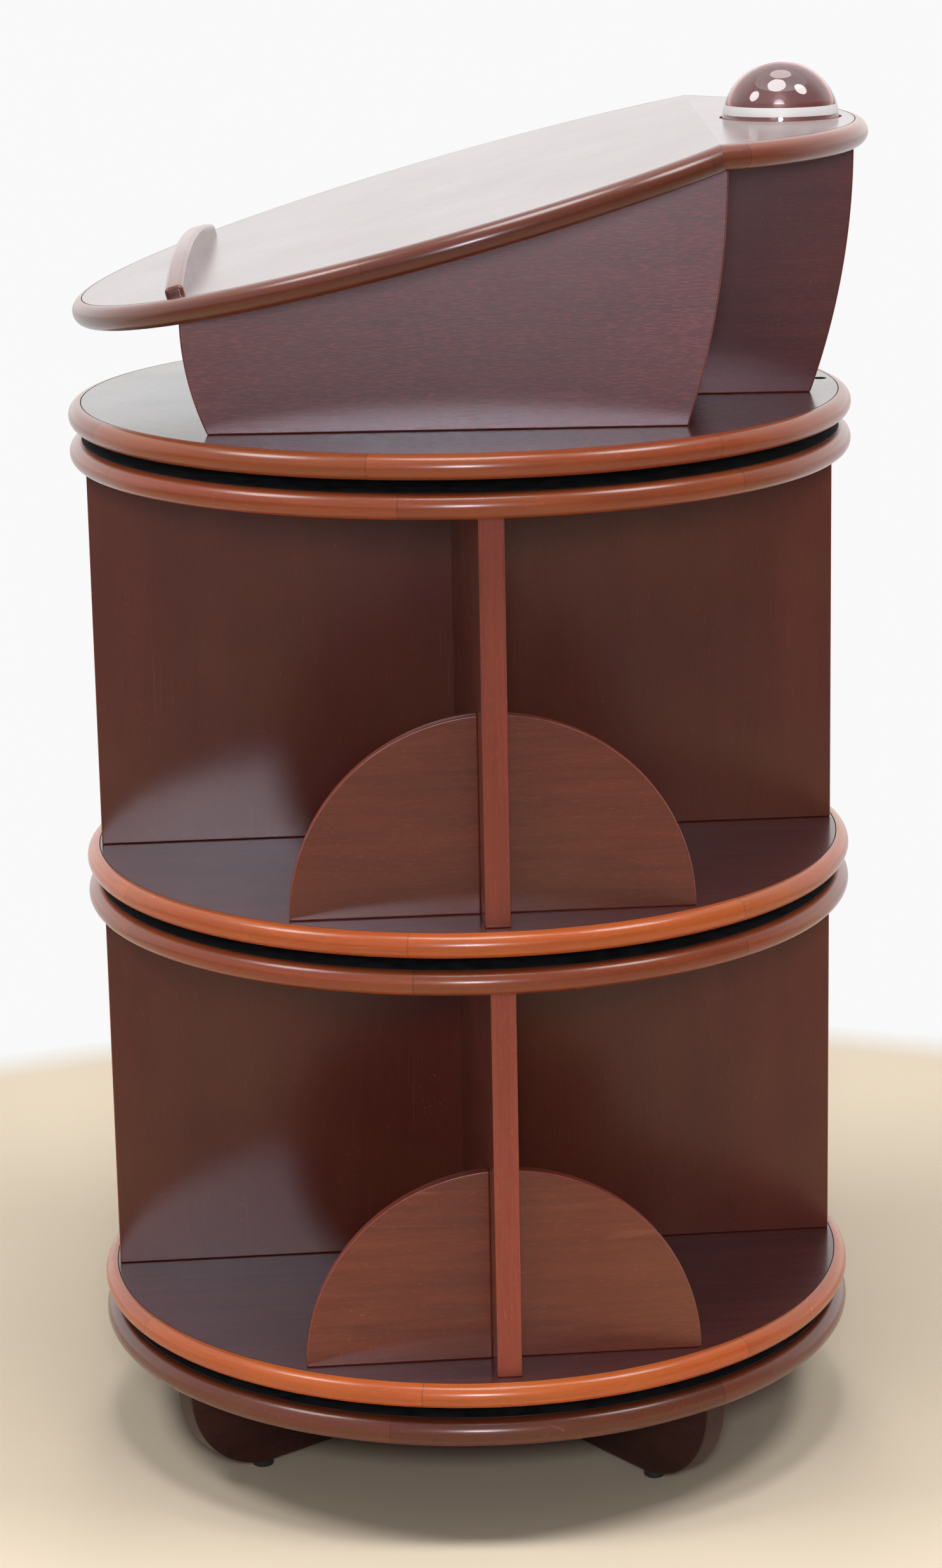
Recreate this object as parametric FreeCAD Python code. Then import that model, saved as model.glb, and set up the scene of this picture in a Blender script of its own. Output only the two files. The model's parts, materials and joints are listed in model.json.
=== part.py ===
import FreeCAD
import Part
import math
import os

from FreeCAD import Vector

# A revolving book tower: a footed base, two book tiers that turn one above the other, and a turning
# lectern with a loose glass dome magnifier. Sizes are in millimetres and angles in degrees. The origin
# lies on the tower's axis at floor level. X points to the lectern's high end and Y to the tower's rear.
# An inset is how far a piece ends inside the edge of the disc, panel or board that carries it.

# Discs of the base, the tiers and the lectern, with fully rounded edges
disc_radius = 305.0
disc_thickness = 19.0
base_disc_thickness = 22.0
rim_hole_radius = 6.0
rim_hole_inset = 20.4
rim_hole_angle = 4.9

# Foot boards and glides
foot_height = 76.0
foot_inset = 10.0
foot_thickness = 19.0
foot_edge_radius = 1.2
foot_turn_angle = 38.5
halving_clearance = 0.2
glide_radius = 8.5
glide_stand = 6.0
glide_inset = 73.0
glide_edge_radius = 1.5
glide_seat_depth = 0.4
glide_nail_radius = 1.5
glide_nail_length = 16.0

# Turntable bearings
bearing_gap = 9.5
ring_inner_radius = 112.0
ring_outer_radius = 152.0
ring_spacing = 1.7
race_wall = 1.45
ball_clearance = 0.3
ball_count = 36
cage_clearance = 0.35
cage_margin = 3.0
ring_screw_count = 6
ring_screw_grip = 11.0

# Book tiers
tier_interior = 307.0
tier_board_thickness = 19.0
cross_board_inset = 12.0
partition_inset = 19.0
board_edge_radius = 1.5
bookend_radius = 152.0
bookend_thickness = 9.5
bookend_inset = 39.0
bookend_edge_radius = 1.0
lower_tier_turn_angle = 4.8
upper_tier_turn_angle = 4.2

# Lectern
panel_thickness = 19.0
slope_angle = 14.7
flat_top_height = 206.4
crease_inset = 115.0
slope_panel_overhang = 2.0
slope_panel_shift = 3.4
flat_panel_overhang = 12.0
lectern_board_thickness = 19.0
side_board_inset = 109.7
side_board_front_inset = 101.5
side_board_front_undercut = 18.0
side_board_rear_inset = 107.6
side_board_rear_undercut = 29.8
fin_offset = 46.0
fin_front_reach = 70.0
fin_rear_inset = 2.0
fin_rear_undercut = 32.5

# Book ledge
ledge_inset = 105.9
ledge_end_inset = 5.6
ledge_thickness = 14.0
ledge_end_height = 7.0
ledge_crown_height = 20.0
ledge_edge_radius = 3.0

# Dome magnifier and its recess
dome_radius = 45.0
dome_collar_height = 2.5
dome_distance = 61.0
dome_recess_depth = 5.0
dome_recess_clearance = 2.0

# Screws and dowels
screw_head_radius = 4.0
screw_head_height = 3.0
screw_shank_radius = 2.0
screw_tip_height = 3.0
board_screw_grip = 26.0
ledge_screw_grip = 5.0
dowel_radius = 4.0
bookend_dowel_radius = 2.5
cross_dowel_grip = 25.0
bookend_dowel_grip = 18.0
panel_dowel_board_grip = 20.0
panel_dowel_panel_grip = 9.0
crease_dowel_grip = 20.0
fit_clearance = 0.05
cut_overrun = 5.0

# Places of screws and dowels along the piece that they hold
foot_screw_shares = (-0.65, -0.3, 0.3, 0.65)
cross_screw_shares = (-0.75, -0.25, 0.25, 0.75)
partition_screw_shares = (0.3, 0.7)
bookend_screw_share = 0.5
cross_dowel_shares = (0.2, 0.5, 0.8)
bookend_dowel_shares = (0.25, 0.7)
side_screw_shares = (0.15, 0.5, 0.85)
side_dowel_shares = (0.2, 0.8)
fin_screw_shares = (0.25, 0.8)
fin_dowel_shares = (0.35, 0.8)
crease_dowel_shares = (-0.75, -0.3, 0.3, 0.75)
ledge_screw_shares = (-0.7, 0.0, 0.7)

# Heights of the stack, from the floor up
foot_top = glide_stand + foot_height
base_top = foot_top + base_disc_thickness
tier_height = disc_thickness + tier_interior + disc_thickness
lower_tier_bottom = base_top + bearing_gap
lower_tier_top = lower_tier_bottom + tier_height
upper_tier_bottom = lower_tier_top + bearing_gap
upper_tier_top = upper_tier_bottom + tier_height
lectern_bottom = upper_tier_top + bearing_gap
lectern_floor = lectern_bottom + disc_thickness
flat_top = lectern_floor + flat_top_height
flat_under = flat_top - panel_thickness

# Bearing sizes that follow from the gap
ring_thickness = (bearing_gap - ring_spacing) / 2
race_radius = (ring_inner_radius + ring_outer_radius) / 2
race_groove_radius = bearing_gap / 2 - race_wall
ball_radius = race_groove_radius - ball_clearance
cage_hole_radius = ball_radius + ball_clearance
cage_half_width = cage_hole_radius + cage_margin
ring_screw_circle = (race_radius + race_groove_radius + ring_outer_radius) / 2

# Reaches from the tower's axis that follow from the discs
foot_reach = disc_radius - foot_inset
cross_board_reach = disc_radius - cross_board_inset
partition_reach = disc_radius - partition_inset
bookend_reach = partition_reach - bookend_inset
side_board_offset = disc_radius - side_board_inset
side_board_front_reach = disc_radius - side_board_front_inset
side_board_rear_reach = disc_radius - side_board_rear_inset
fin_rear_reach = disc_radius - fin_rear_inset
crease_reach = disc_radius - crease_inset
rim_hole_reach = disc_radius - rim_hole_inset

# Lectern panels: the sloped one is a round board whose centre lies a little in front of the axis
slope_tangent = math.tan(math.radians(slope_angle))
mitre_tangent = math.tan(math.radians(slope_angle / 2))
crease_under = crease_reach + panel_thickness * mitre_tangent
slope_panel_radius = disc_radius + slope_panel_overhang
slope_panel_offset = (crease_reach + slope_panel_shift) / math.cos(math.radians(slope_angle))
crease_half_width = math.sqrt(slope_panel_radius ** 2 - slope_panel_offset ** 2)
flat_panel_reach = crease_inset + flat_panel_overhang
flat_panel_radius = (crease_half_width ** 2 + flat_panel_reach ** 2) / (2 * flat_panel_reach)
dome_place = Vector(crease_reach + dome_distance, 0, flat_top - dome_recess_depth)

# The ledge ends inside the flat top of the sloped panel
ledge_distance = slope_panel_offset + slope_panel_radius - ledge_inset
ledge_foot_reach = slope_panel_radius - ledge_inset + ledge_thickness
panel_flat_radius = slope_panel_radius - panel_thickness / 2
ledge_half_length = math.sqrt(panel_flat_radius ** 2 - ledge_foot_reach ** 2) - ledge_end_inset

axis_point = Vector(0, 0, 0)
x_axis = Vector(1, 0, 0)
y_axis = Vector(0, 1, 0)
z_axis = Vector(0, 0, 1)


def line(start, end):
    return Part.LineSegment(start, end).toShape()


def block(x_from, x_to, y_from, y_to, z_from, z_to):
    corner = Vector(x_from, y_from, z_from)
    return Part.makeBox(x_to - x_from, y_to - y_from, z_to - z_from, corner)


def turned(edges):
    """A solid of revolution about Z, from a closed outline in the XZ plane."""
    return Part.Face(Part.Wire(edges)).revolve(axis_point, z_axis, 360)


def turned_profile(points):
    """A solid of revolution from straight runs between (radius, height) points."""
    corners = [Vector(radius, 0, height) for radius, height in points]
    return turned([line(a, b) for a, b in zip(corners, corners[1:] + corners[:1])])


def rounded_disc(radius, thickness, bottom):
    """A round board whose edge is a half circle."""
    nose = thickness / 2
    low = Vector(radius - nose, 0, bottom)
    high = Vector(radius - nose, 0, bottom + thickness)
    tip = Vector(radius, 0, bottom + nose)
    centre_low = Vector(0, 0, bottom)
    centre_high = Vector(0, 0, bottom + thickness)
    arc = Part.Arc(low, tip, high).toShape()
    return turned([line(centre_low, low), arc, line(high, centre_high), line(centre_high, centre_low)])


def moved(shape, place, direction=z_axis):
    """A copy of a shape drawn along Z, turned to a direction and set at a place."""
    copy = shape.copy()
    copy.Placement = FreeCAD.Placement(place, FreeCAD.Rotation(z_axis, direction))
    return copy


def cut_solid(shape, tools):
    """The one solid that is left after the tools are cut away."""
    return shape.cut(Part.makeCompound(tools)).Solids[0]


def eased(shape, edges, radius):
    return shape.makeFillet(radius, edges)


def round_edges(shape):
    return [edge for edge in shape.Edges if isinstance(edge.Curve, Part.Circle)]


def upright_edges(shape, beyond=0):
    """Vertical edges that stand further than a distance from the tower's axis."""
    found = []
    for edge in shape.Edges:
        start = edge.Vertexes[0].Point
        run = edge.Vertexes[-1].Point - start
        if abs(run.z) > math.hypot(run.x, run.y) and math.hypot(start.x, start.y) > beyond:
            found.append(edge)
    return found


def screw(length):
    """A countersunk wood screw along Z, with the face of its head at the origin."""
    return turned_profile([
        (0, 0), (screw_head_radius, 0), (screw_shank_radius, screw_head_height),
        (screw_shank_radius, length - screw_tip_height), (0, length)])


def screw_bore(length):
    head = screw_head_radius + fit_clearance
    shank = screw_shank_radius + fit_clearance
    depth = length + fit_clearance
    return turned_profile([
        (0, -cut_overrun), (head, -cut_overrun), (head, 0), (shank, screw_head_height),
        (shank, depth), (0, depth)])


def screws_and_bores(places, length, direction):
    """Screws at several places, and the bores that take them."""
    screws = [moved(screw(length), place, direction) for place in places]
    bores = [moved(screw_bore(length), place, direction) for place in places]
    return screws, bores


def dowels_and_bores(middles, direction, radius, grip_before, grip_after):
    """Dowels that reach to both sides of their middles along a direction, and their bores."""
    dowel = Part.makeCylinder(radius, grip_before + grip_after, Vector(0, 0, -grip_before))
    depth = grip_before + grip_after + 2 * fit_clearance
    bore = Part.makeCylinder(radius + fit_clearance, depth, Vector(0, 0, -grip_before - fit_clearance))
    dowels = [moved(dowel, middle, direction) for middle in middles]
    bores = [moved(bore, middle, direction) for middle in middles]
    return dowels, bores


# Bearings

def on_circle(radius, angle, height):
    return Vector(radius * math.cos(angle), radius * math.sin(angle), height)


def circle_places(radius, height, count):
    return [on_circle(radius, math.tau * index / count, height) for index in range(count)]


def ring_screw_places(height):
    return circle_places(ring_screw_circle, height, ring_screw_count)


def bearing_ring(bottom, middle, bores):
    """A flat ring with a ball groove that is centred on the middle of the gap."""
    ring = Part.makeCylinder(ring_outer_radius, ring_thickness, Vector(0, 0, bottom))
    hole = Part.makeCylinder(ring_inner_radius, ring_thickness, Vector(0, 0, bottom))
    groove = Part.makeTorus(race_radius, race_groove_radius, Vector(0, 0, middle))
    return cut_solid(ring, [hole, groove] + bores)


def ball_places(middle):
    return circle_places(race_radius, middle, ball_count)


def ball_cage(middle):
    thickness = ring_spacing - 2 * cage_clearance
    corner = Vector(0, 0, middle - thickness / 2)
    cage = Part.makeCylinder(race_radius + cage_half_width, thickness, corner)
    inside = Part.makeCylinder(race_radius - cage_half_width, thickness, corner)
    hole = Part.makeCylinder(cage_hole_radius, thickness, Vector(0, 0, -thickness / 2))
    return cut_solid(cage, [inside] + [moved(hole, place) for place in ball_places(middle)])


def bearing_below(name, bottom):
    """The half of a bearing that stays with the disc under it, and the bores in that disc."""
    middle = bottom + bearing_gap / 2
    length = ring_thickness + ring_screw_grip
    screws, bores = screws_and_bores(ring_screw_places(bottom + ring_thickness), length, -z_axis)
    balls = [Part.makeSphere(ball_radius, place) for place in ball_places(middle)]
    pieces = {
        name + "_lower_ring": bearing_ring(bottom, middle, bores),
        name + "_cage": ball_cage(middle),
        name + "_balls": Part.makeCompound(balls),
        name + "_lower_screws": Part.makeCompound(screws),
    }
    return pieces, bores


def bearing_above(name, bottom):
    """The half of a bearing that turns with the disc over it, and the bores in that disc."""
    middle = bottom + bearing_gap / 2
    ring_bottom = bottom + bearing_gap - ring_thickness
    length = ring_thickness + ring_screw_grip
    screws, bores = screws_and_bores(ring_screw_places(ring_bottom), length, z_axis)
    pieces = {
        name + "_upper_ring": bearing_ring(ring_bottom, middle, bores),
        name + "_upper_screws": Part.makeCompound(screws),
    }
    return pieces, bores


# Base

def turned_about_axis(shape, angle):
    copy = shape.copy()
    copy.rotate(axis_point, z_axis, angle)
    return copy


def glide_places():
    """Where the glides stand along a foot board, on the floor."""
    reach = foot_reach - glide_inset
    return [Vector(-reach, 0, 0), Vector(reach, 0, 0)]


def glide_height():
    """From the floor to the flat seat, which is cut just past where the foot's end curves up."""
    curved_run = max(0, foot_height - glide_inset + glide_radius)
    rise = foot_height - math.sqrt(foot_height ** 2 - curved_run ** 2)
    return glide_stand + rise + glide_seat_depth


def glide():
    height = glide_height()
    inner = glide_radius - glide_edge_radius
    bend = glide_edge_radius * math.sqrt(0.5)
    start = Vector(inner, 0, 0)
    end = Vector(glide_radius, 0, glide_edge_radius)
    middle = Vector(inner + bend, 0, glide_edge_radius - bend)
    rest = [
        end, Vector(glide_radius, 0, height), Vector(glide_nail_radius, 0, height),
        Vector(glide_nail_radius, 0, height + glide_nail_length),
        Vector(0, 0, height + glide_nail_length), axis_point, start]
    return turned([Part.Arc(start, middle, end).toShape()] + [line(a, b) for a, b in zip(rest, rest[1:])])


def glide_seat():
    """The cut in a foot board for one glide and its nail."""
    height = glide_height()
    seat = Part.makeCylinder(glide_radius + fit_clearance, height)
    nail = Part.makeCylinder(
        glide_nail_radius + fit_clearance, height + glide_nail_length + fit_clearance)
    return seat.fuse(nail)


def foot_board_blank():
    """A board on edge along X, with quarter-round lower corners as high as the board."""
    flat_reach = foot_reach - foot_height
    bend = foot_height * math.sqrt(0.5)
    side = -foot_thickness / 2

    def point(x, z):
        return Vector(x, side, z)

    left = Part.Arc(point(-foot_reach, foot_top), point(-flat_reach - bend, foot_top - bend),
                    point(-flat_reach, glide_stand)).toShape()
    right = Part.Arc(point(flat_reach, glide_stand), point(flat_reach + bend, foot_top - bend),
                     point(foot_reach, foot_top)).toShape()
    bottom = line(point(-flat_reach, glide_stand), point(flat_reach, glide_stand))
    top = line(point(foot_reach, foot_top), point(-foot_reach, foot_top))
    board = Part.Face(Part.Wire([left, bottom, right, top])).extrude(Vector(0, foot_thickness, 0))
    return eased(board, round_edges(board), foot_edge_radius)


def halving_notch(z_from, z_to):
    half = foot_thickness / 2 + halving_clearance
    return block(-half, half, -half, half, z_from, z_to)


def foot_screw_places():
    return [Vector(share * foot_reach, 0, base_top) for share in foot_screw_shares]


def base_body():
    """The two foot boards halved into each other, their glides and the base disc."""
    length = base_disc_thickness + board_screw_grip
    screws, bores = screws_and_bores(foot_screw_places(), length, -z_axis)
    seats = [moved(glide_seat(), place) for place in glide_places()]
    blank = foot_board_blank()
    halving_height = glide_stand + foot_height / 2
    upper_notch = halving_notch(halving_height, foot_top + cut_overrun)
    lower_notch = halving_notch(glide_stand - cut_overrun, halving_height)
    glides = [moved(glide(), place) for place in glide_places()]
    left_turn = foot_turn_angle
    right_turn = foot_turn_angle - 90
    ring_pieces, ring_bores = bearing_below("base_bearing", base_top)
    disc_bores = [turned_about_axis(bore, turn) for turn in (left_turn, right_turn) for bore in bores]
    disc = rounded_disc(disc_radius, base_disc_thickness, foot_top)
    pieces = {
        "left_foot_board": turned_about_axis(cut_solid(blank, seats + bores + [upper_notch]), left_turn),
        "right_foot_board": turned_about_axis(cut_solid(blank, seats + bores + [lower_notch]), right_turn),
        "glides": Part.makeCompound(
            [turned_about_axis(one, turn) for turn in (left_turn, right_turn) for one in glides]),
        "base_disc": cut_solid(disc, disc_bores + ring_bores),
        "foot_screws": Part.makeCompound(
            [turned_about_axis(one, turn) for turn in (left_turn, right_turn) for one in screws]),
    }
    pieces.update(ring_pieces)
    return pieces


# Book tiers

def cross_board(bottom):
    half = tier_board_thickness / 2
    board = block(-cross_board_reach, cross_board_reach, -half, half, bottom, bottom + tier_interior)
    return eased(board, upright_edges(board), board_edge_radius)


def partition(bottom, side):
    """A board from the cross board outwards, to the front where side is -1 and to the rear where it is 1."""
    half = tier_board_thickness / 2
    near, far = sorted((side * half, side * partition_reach))
    board = block(-half, half, near, far, bottom, bottom + tier_interior)
    outer = (partition_reach + half) / 2
    return eased(board, upright_edges(board, outer), board_edge_radius)


def bookend(bottom, side, hand):
    """A quarter-round board square to a partition, on its left where hand is -1 and right where it is 1."""
    inner = tier_board_thickness / 2
    height = math.sqrt(bookend_radius ** 2 - inner ** 2)
    bend = bookend_radius * math.sqrt(0.5)
    outer_y = side * bookend_reach

    def point(x, z):
        return Vector(hand * x, outer_y, bottom + z)

    corner, toe, head = point(inner, 0), point(bookend_radius, 0), point(inner, height)
    arc = Part.Arc(toe, point(bend, bend), head).toShape()
    face = Part.Face(Part.Wire([line(corner, toe), arc, line(head, corner)]))
    board = face.extrude(Vector(0, -side * bookend_thickness, 0))
    return eased(board, round_edges(board), bookend_edge_radius)


def bookend_middle(side):
    return side * (bookend_reach - bookend_thickness / 2)


def tier_screw_places(height):
    """Over the cross board and the two partitions, at one height."""
    places = [Vector(share * cross_board_reach, 0, height) for share in cross_screw_shares]
    for side in (-1, 1):
        places += [Vector(0, side * share * partition_reach, height) for share in partition_screw_shares]
    return places


def bookend_screw_places(height):
    reach = bookend_screw_share * bookend_radius
    return [Vector(hand * reach, bookend_middle(side), height) for side in (-1, 1) for hand in (-1, 1)]


def tier_dowels(bottom):
    """Dowels through the cross board into both partitions, and through each partition into its bookends."""
    cross_middles = [Vector(0, 0, bottom + share * tier_interior) for share in cross_dowel_shares]
    cross_grip = tier_board_thickness / 2 + cross_dowel_grip
    bookend_middles = [Vector(0, bookend_middle(side), bottom + share * bookend_radius)
                       for side in (-1, 1) for share in bookend_dowel_shares]
    bookend_grip = tier_board_thickness / 2 + bookend_dowel_grip
    dowels, bores = dowels_and_bores(cross_middles, y_axis, dowel_radius, cross_grip, cross_grip)
    more, more_bores = dowels_and_bores(
        bookend_middles, x_axis, bookend_dowel_radius, bookend_grip, bookend_grip)
    return dowels + more, bores + more_bores


def tier_body(name, bottom, bearing_under, bearing_over):
    """One tier: two discs, the crossed boards between them and the bookends."""
    floor = bottom + disc_thickness
    ceiling = floor + tier_interior
    length = disc_thickness + board_screw_grip
    floor_places = tier_screw_places(bottom) + bookend_screw_places(bottom)
    floor_screws, floor_bores = screws_and_bores(floor_places, length, z_axis)
    top_places = tier_screw_places(ceiling + disc_thickness)
    top_screws, top_bores = screws_and_bores(top_places, length, -z_axis)
    dowels, dowel_bores = tier_dowels(floor)
    under_pieces, under_bores = bearing_above(bearing_under, bottom - bearing_gap)
    over_pieces, over_bores = bearing_below(bearing_over, ceiling + disc_thickness)
    board_bores = floor_bores + top_bores + dowel_bores
    boards = {
        "cross_board": cross_board(floor),
        "front_partition": partition(floor, -1),
        "rear_partition": partition(floor, 1),
    }
    for side, side_name in ((-1, "front"), (1, "rear")):
        for hand, hand_name in ((-1, "left"), (1, "right")):
            boards[side_name + "_" + hand_name + "_bookend"] = bookend(floor, side, hand)
    floor_disc = rounded_disc(disc_radius, disc_thickness, bottom)
    top_disc = rounded_disc(disc_radius, disc_thickness, ceiling)
    pieces = {name + "_" + key: cut_solid(board, board_bores) for key, board in boards.items()}
    pieces[name + "_floor_disc"] = cut_solid(floor_disc, floor_bores + under_bores)
    pieces[name + "_top_disc"] = cut_solid(top_disc, top_bores + over_bores)
    pieces[name + "_screws"] = Part.makeCompound(floor_screws + top_screws)
    pieces[name + "_dowels"] = Part.makeCompound(dowels)
    pieces.update(under_pieces)
    pieces.update(over_pieces)
    return pieces


# Lectern

def underside(x):
    """Height of the panels' underside over a place along X."""
    return flat_under - max(0, crease_under - x) * slope_tangent


def end_arc(x, undercut, outward):
    """An end edge that stands upright at the panel and curves in to the disc, from the top down."""
    drop = underside(x) - lectern_floor
    radius = (drop ** 2 + undercut ** 2) / (2 * undercut)
    half_angle = math.asin(drop / radius) / 2
    inset = radius - radius * math.cos(half_angle)
    fall = radius * math.sin(half_angle)
    top = (x, underside(x))
    middle = (x - outward * inset, underside(x) - fall)
    foot = (x - outward * undercut, lectern_floor)
    return top, middle, foot


def lectern_board(front_edges, front_top, front_foot, rear, y_from):
    """An upright board under the panels, between its front edge and a curved rear edge."""
    rear_top, rear_middle, rear_foot = rear

    def point(place):
        return Vector(place[0], y_from, place[1])

    tops = [front_top, rear_top]
    if front_top[0] < crease_under < rear_top[0]:
        tops.insert(1, (crease_under, flat_under))
    edges = [line(point(a), point(b)) for a, b in zip(tops, tops[1:])]
    edges.append(Part.Arc(point(rear_top), point(rear_middle), point(rear_foot)).toShape())
    edges.append(line(point(rear_foot), point(front_foot)))
    edges += front_edges(point)
    board = Part.Face(Part.Wire(edges)).extrude(Vector(0, lectern_board_thickness, 0))
    return eased(board, round_edges(board), board_edge_radius)


def side_board(y_from):
    top, middle, foot = end_arc(-side_board_front_reach, side_board_front_undercut, -1)
    rear = end_arc(side_board_rear_reach, side_board_rear_undercut, 1)

    def front_edges(point):
        return [Part.Arc(point(foot), point(middle), point(top)).toShape()]

    return lectern_board(front_edges, top, foot, rear, y_from)


def rear_fin(y_from):
    top = (fin_front_reach, underside(fin_front_reach))
    foot = (fin_front_reach, lectern_floor)
    rear = end_arc(fin_rear_reach, fin_rear_undercut, 1)

    def front_edges(point):
        return [line(point(foot), point(top))]

    return lectern_board(front_edges, top, foot, rear, y_from)


def on_slope(shape):
    """Takes a piece drawn level, with the crease on Y and its top at zero, to its place on the slope."""
    copy = shape.copy()
    copy.rotate(axis_point, y_axis, -slope_angle)
    copy.translate(Vector(crease_reach, 0, flat_top))
    return copy


def beyond_mitre(side):
    """All that lies to one side of the mitred joint of the two panels."""
    far = slope_panel_radius + slope_panel_offset + flat_panel_reach
    x_from, x_to = sorted((0, side * far))
    half_space = block(x_from, x_to, -far, far, -far, far)
    half_space.rotate(axis_point, y_axis, -slope_angle / 2)
    half_space.translate(Vector(crease_reach, 0, flat_top))
    return half_space


def slope_panel(bores):
    panel = rounded_disc(slope_panel_radius, panel_thickness, -panel_thickness)
    panel.translate(Vector(-slope_panel_offset, 0, 0))
    return cut_solid(on_slope(panel), [beyond_mitre(1)] + bores)


def flat_panel(bores):
    panel = rounded_disc(flat_panel_radius, panel_thickness, flat_under)
    panel.translate(Vector(crease_reach + flat_panel_reach - flat_panel_radius, 0, 0))
    recess = Part.makeCylinder(
        dome_radius + dome_recess_clearance, dome_recess_depth + cut_overrun, dome_place)
    return cut_solid(panel, [beyond_mitre(-1), recess] + bores)


def book_ledge():
    """A strip across the slope whose top rises in an arc to the middle, drawn level."""
    lower_side = -ledge_distance - ledge_thickness

    def point(y, z):
        return Vector(lower_side, y, z)

    left_top = point(-ledge_half_length, ledge_end_height)
    right_top = point(ledge_half_length, ledge_end_height)
    left_foot = point(-ledge_half_length, 0)
    right_foot = point(ledge_half_length, 0)
    crown = Part.Arc(right_top, point(0, ledge_crown_height), left_top).toShape()
    outline = [line(left_foot, right_foot), line(right_foot, right_top), crown, line(left_top, left_foot)]
    ledge = Part.Face(Part.Wire(outline)).extrude(Vector(ledge_thickness, 0, 0))
    upper_edges = [edge for edge in ledge.Edges if edge.BoundBox.ZMax > ledge_end_height / 2]
    return eased(ledge, upper_edges, ledge_edge_radius)


def ledge_screw_places():
    middle = -ledge_distance - ledge_thickness / 2
    return [Vector(middle, share * ledge_half_length, -panel_thickness) for share in ledge_screw_shares]


def board_middles(offset):
    """The middle planes of a near and a far board whose outer faces lie at an offset."""
    middle = offset - lectern_board_thickness / 2
    return (-middle, middle)


def between(start, end, share):
    return start + share * (end - start)


def lectern_screw_places():
    """Under the side boards and the fins, at the underside of the lectern disc."""
    side_front = -side_board_front_reach + side_board_front_undercut
    side_rear = side_board_rear_reach - side_board_rear_undercut
    fin_rear = fin_rear_reach - fin_rear_undercut
    places = []
    for y in board_middles(side_board_offset):
        places += [Vector(between(side_front, side_rear, share), y, lectern_bottom)
                   for share in side_screw_shares]
    for y in board_middles(fin_offset):
        places += [Vector(between(fin_front_reach, fin_rear, share), y, lectern_bottom)
                   for share in fin_screw_shares]
    return places


def panel_dowel_places():
    """On top of the side boards and the fins, at the panels' underside."""
    spots = []
    for y in board_middles(side_board_offset):
        spots += [(between(-side_board_front_reach, side_board_rear_reach, share), y)
                  for share in side_dowel_shares]
    for y in board_middles(fin_offset):
        spots += [(between(fin_front_reach, fin_rear_reach, share), y) for share in fin_dowel_shares]
    return [Vector(x, y, underside(x)) for x, y in spots]


def lectern_dowels():
    """Dowels from the boards up into the panels, and dowels square across the mitred joint."""
    half_angle = math.radians(slope_angle / 2)
    across = Vector(math.cos(half_angle), 0, math.sin(half_angle))
    middle_x = (crease_reach + crease_under) / 2
    middle_z = flat_top - panel_thickness / 2
    crease_middles = [Vector(middle_x, share * crease_half_width, middle_z) for share in crease_dowel_shares]
    dowels, bores = dowels_and_bores(
        panel_dowel_places(), z_axis, dowel_radius, panel_dowel_board_grip, panel_dowel_panel_grip)
    more, more_bores = dowels_and_bores(
        crease_middles, across, dowel_radius, crease_dowel_grip, crease_dowel_grip)
    return dowels + more, bores + more_bores


def lectern_body():
    """The turning top: a disc, two side boards, two fins, two panels and a book ledge."""
    ring_pieces, ring_bores = bearing_above("lectern_bearing", upper_tier_top)
    screws, screw_bores = screws_and_bores(
        lectern_screw_places(), disc_thickness + board_screw_grip, z_axis)
    ledge_screws, ledge_bores = screws_and_bores(
        ledge_screw_places(), panel_thickness + ledge_screw_grip, z_axis)
    dowels, dowel_bores = lectern_dowels()
    board_bores = screw_bores + dowel_bores
    hole_place = on_circle(rim_hole_reach, math.radians(rim_hole_angle), lectern_bottom)
    rim_hole = Part.makeCylinder(rim_hole_radius, disc_thickness, hole_place)
    disc = rounded_disc(disc_radius, disc_thickness, lectern_bottom)
    far_side = side_board_offset - lectern_board_thickness
    far_fin = fin_offset - lectern_board_thickness
    sloped_bores = [on_slope(bore) for bore in ledge_bores]
    pieces = {
        "lectern_disc": cut_solid(disc, screw_bores + ring_bores + [rim_hole]),
        "near_side_board": cut_solid(side_board(-side_board_offset), board_bores),
        "far_side_board": cut_solid(side_board(far_side), board_bores),
        "near_rear_fin": cut_solid(rear_fin(-fin_offset), board_bores),
        "far_rear_fin": cut_solid(rear_fin(far_fin), board_bores),
        "slope_panel": slope_panel(dowel_bores + sloped_bores),
        "flat_panel": flat_panel(dowel_bores),
        "book_ledge": cut_solid(on_slope(book_ledge()), sloped_bores),
        "lectern_screws": Part.makeCompound(screws),
        "ledge_screws": Part.makeCompound([on_slope(one) for one in ledge_screws]),
        "lectern_dowels": Part.makeCompound(dowels),
    }
    pieces.update(ring_pieces)
    return pieces


def dome_magnifier():
    """A clear half ball on a short collar, which stands in the flat panel's recess."""
    bend = dome_radius * math.sqrt(0.5)
    foot = Vector(dome_radius, 0, 0)
    shoulder = Vector(dome_radius, 0, dome_collar_height)
    crown = Vector(0, 0, dome_collar_height + dome_radius)
    arc = Part.Arc(shoulder, Vector(bend, 0, dome_collar_height + bend), crown).toShape()
    dome = turned([line(axis_point, foot), line(foot, shoulder), arc, line(crown, axis_point)])
    return moved(dome, dome_place)


def turned_body(pieces, angle):
    return {name: turned_about_axis(shape, angle) for name, shape in pieces.items()}


def main():
    lower = tier_body("lower", lower_tier_bottom, "base_bearing", "middle_bearing")
    upper = tier_body("upper", upper_tier_bottom, "middle_bearing", "lectern_bearing")
    pieces = base_body()
    pieces.update(turned_body(lower, lower_tier_turn_angle))
    pieces.update(turned_body(upper, upper_tier_turn_angle))
    pieces.update(lectern_body())
    pieces["dome_magnifier"] = dome_magnifier()
    os.makedirs("parts", exist_ok=True)
    for name, shape in pieces.items():
        shape.exportStep("parts/" + name + ".step")


main()
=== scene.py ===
import json
import math

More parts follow.
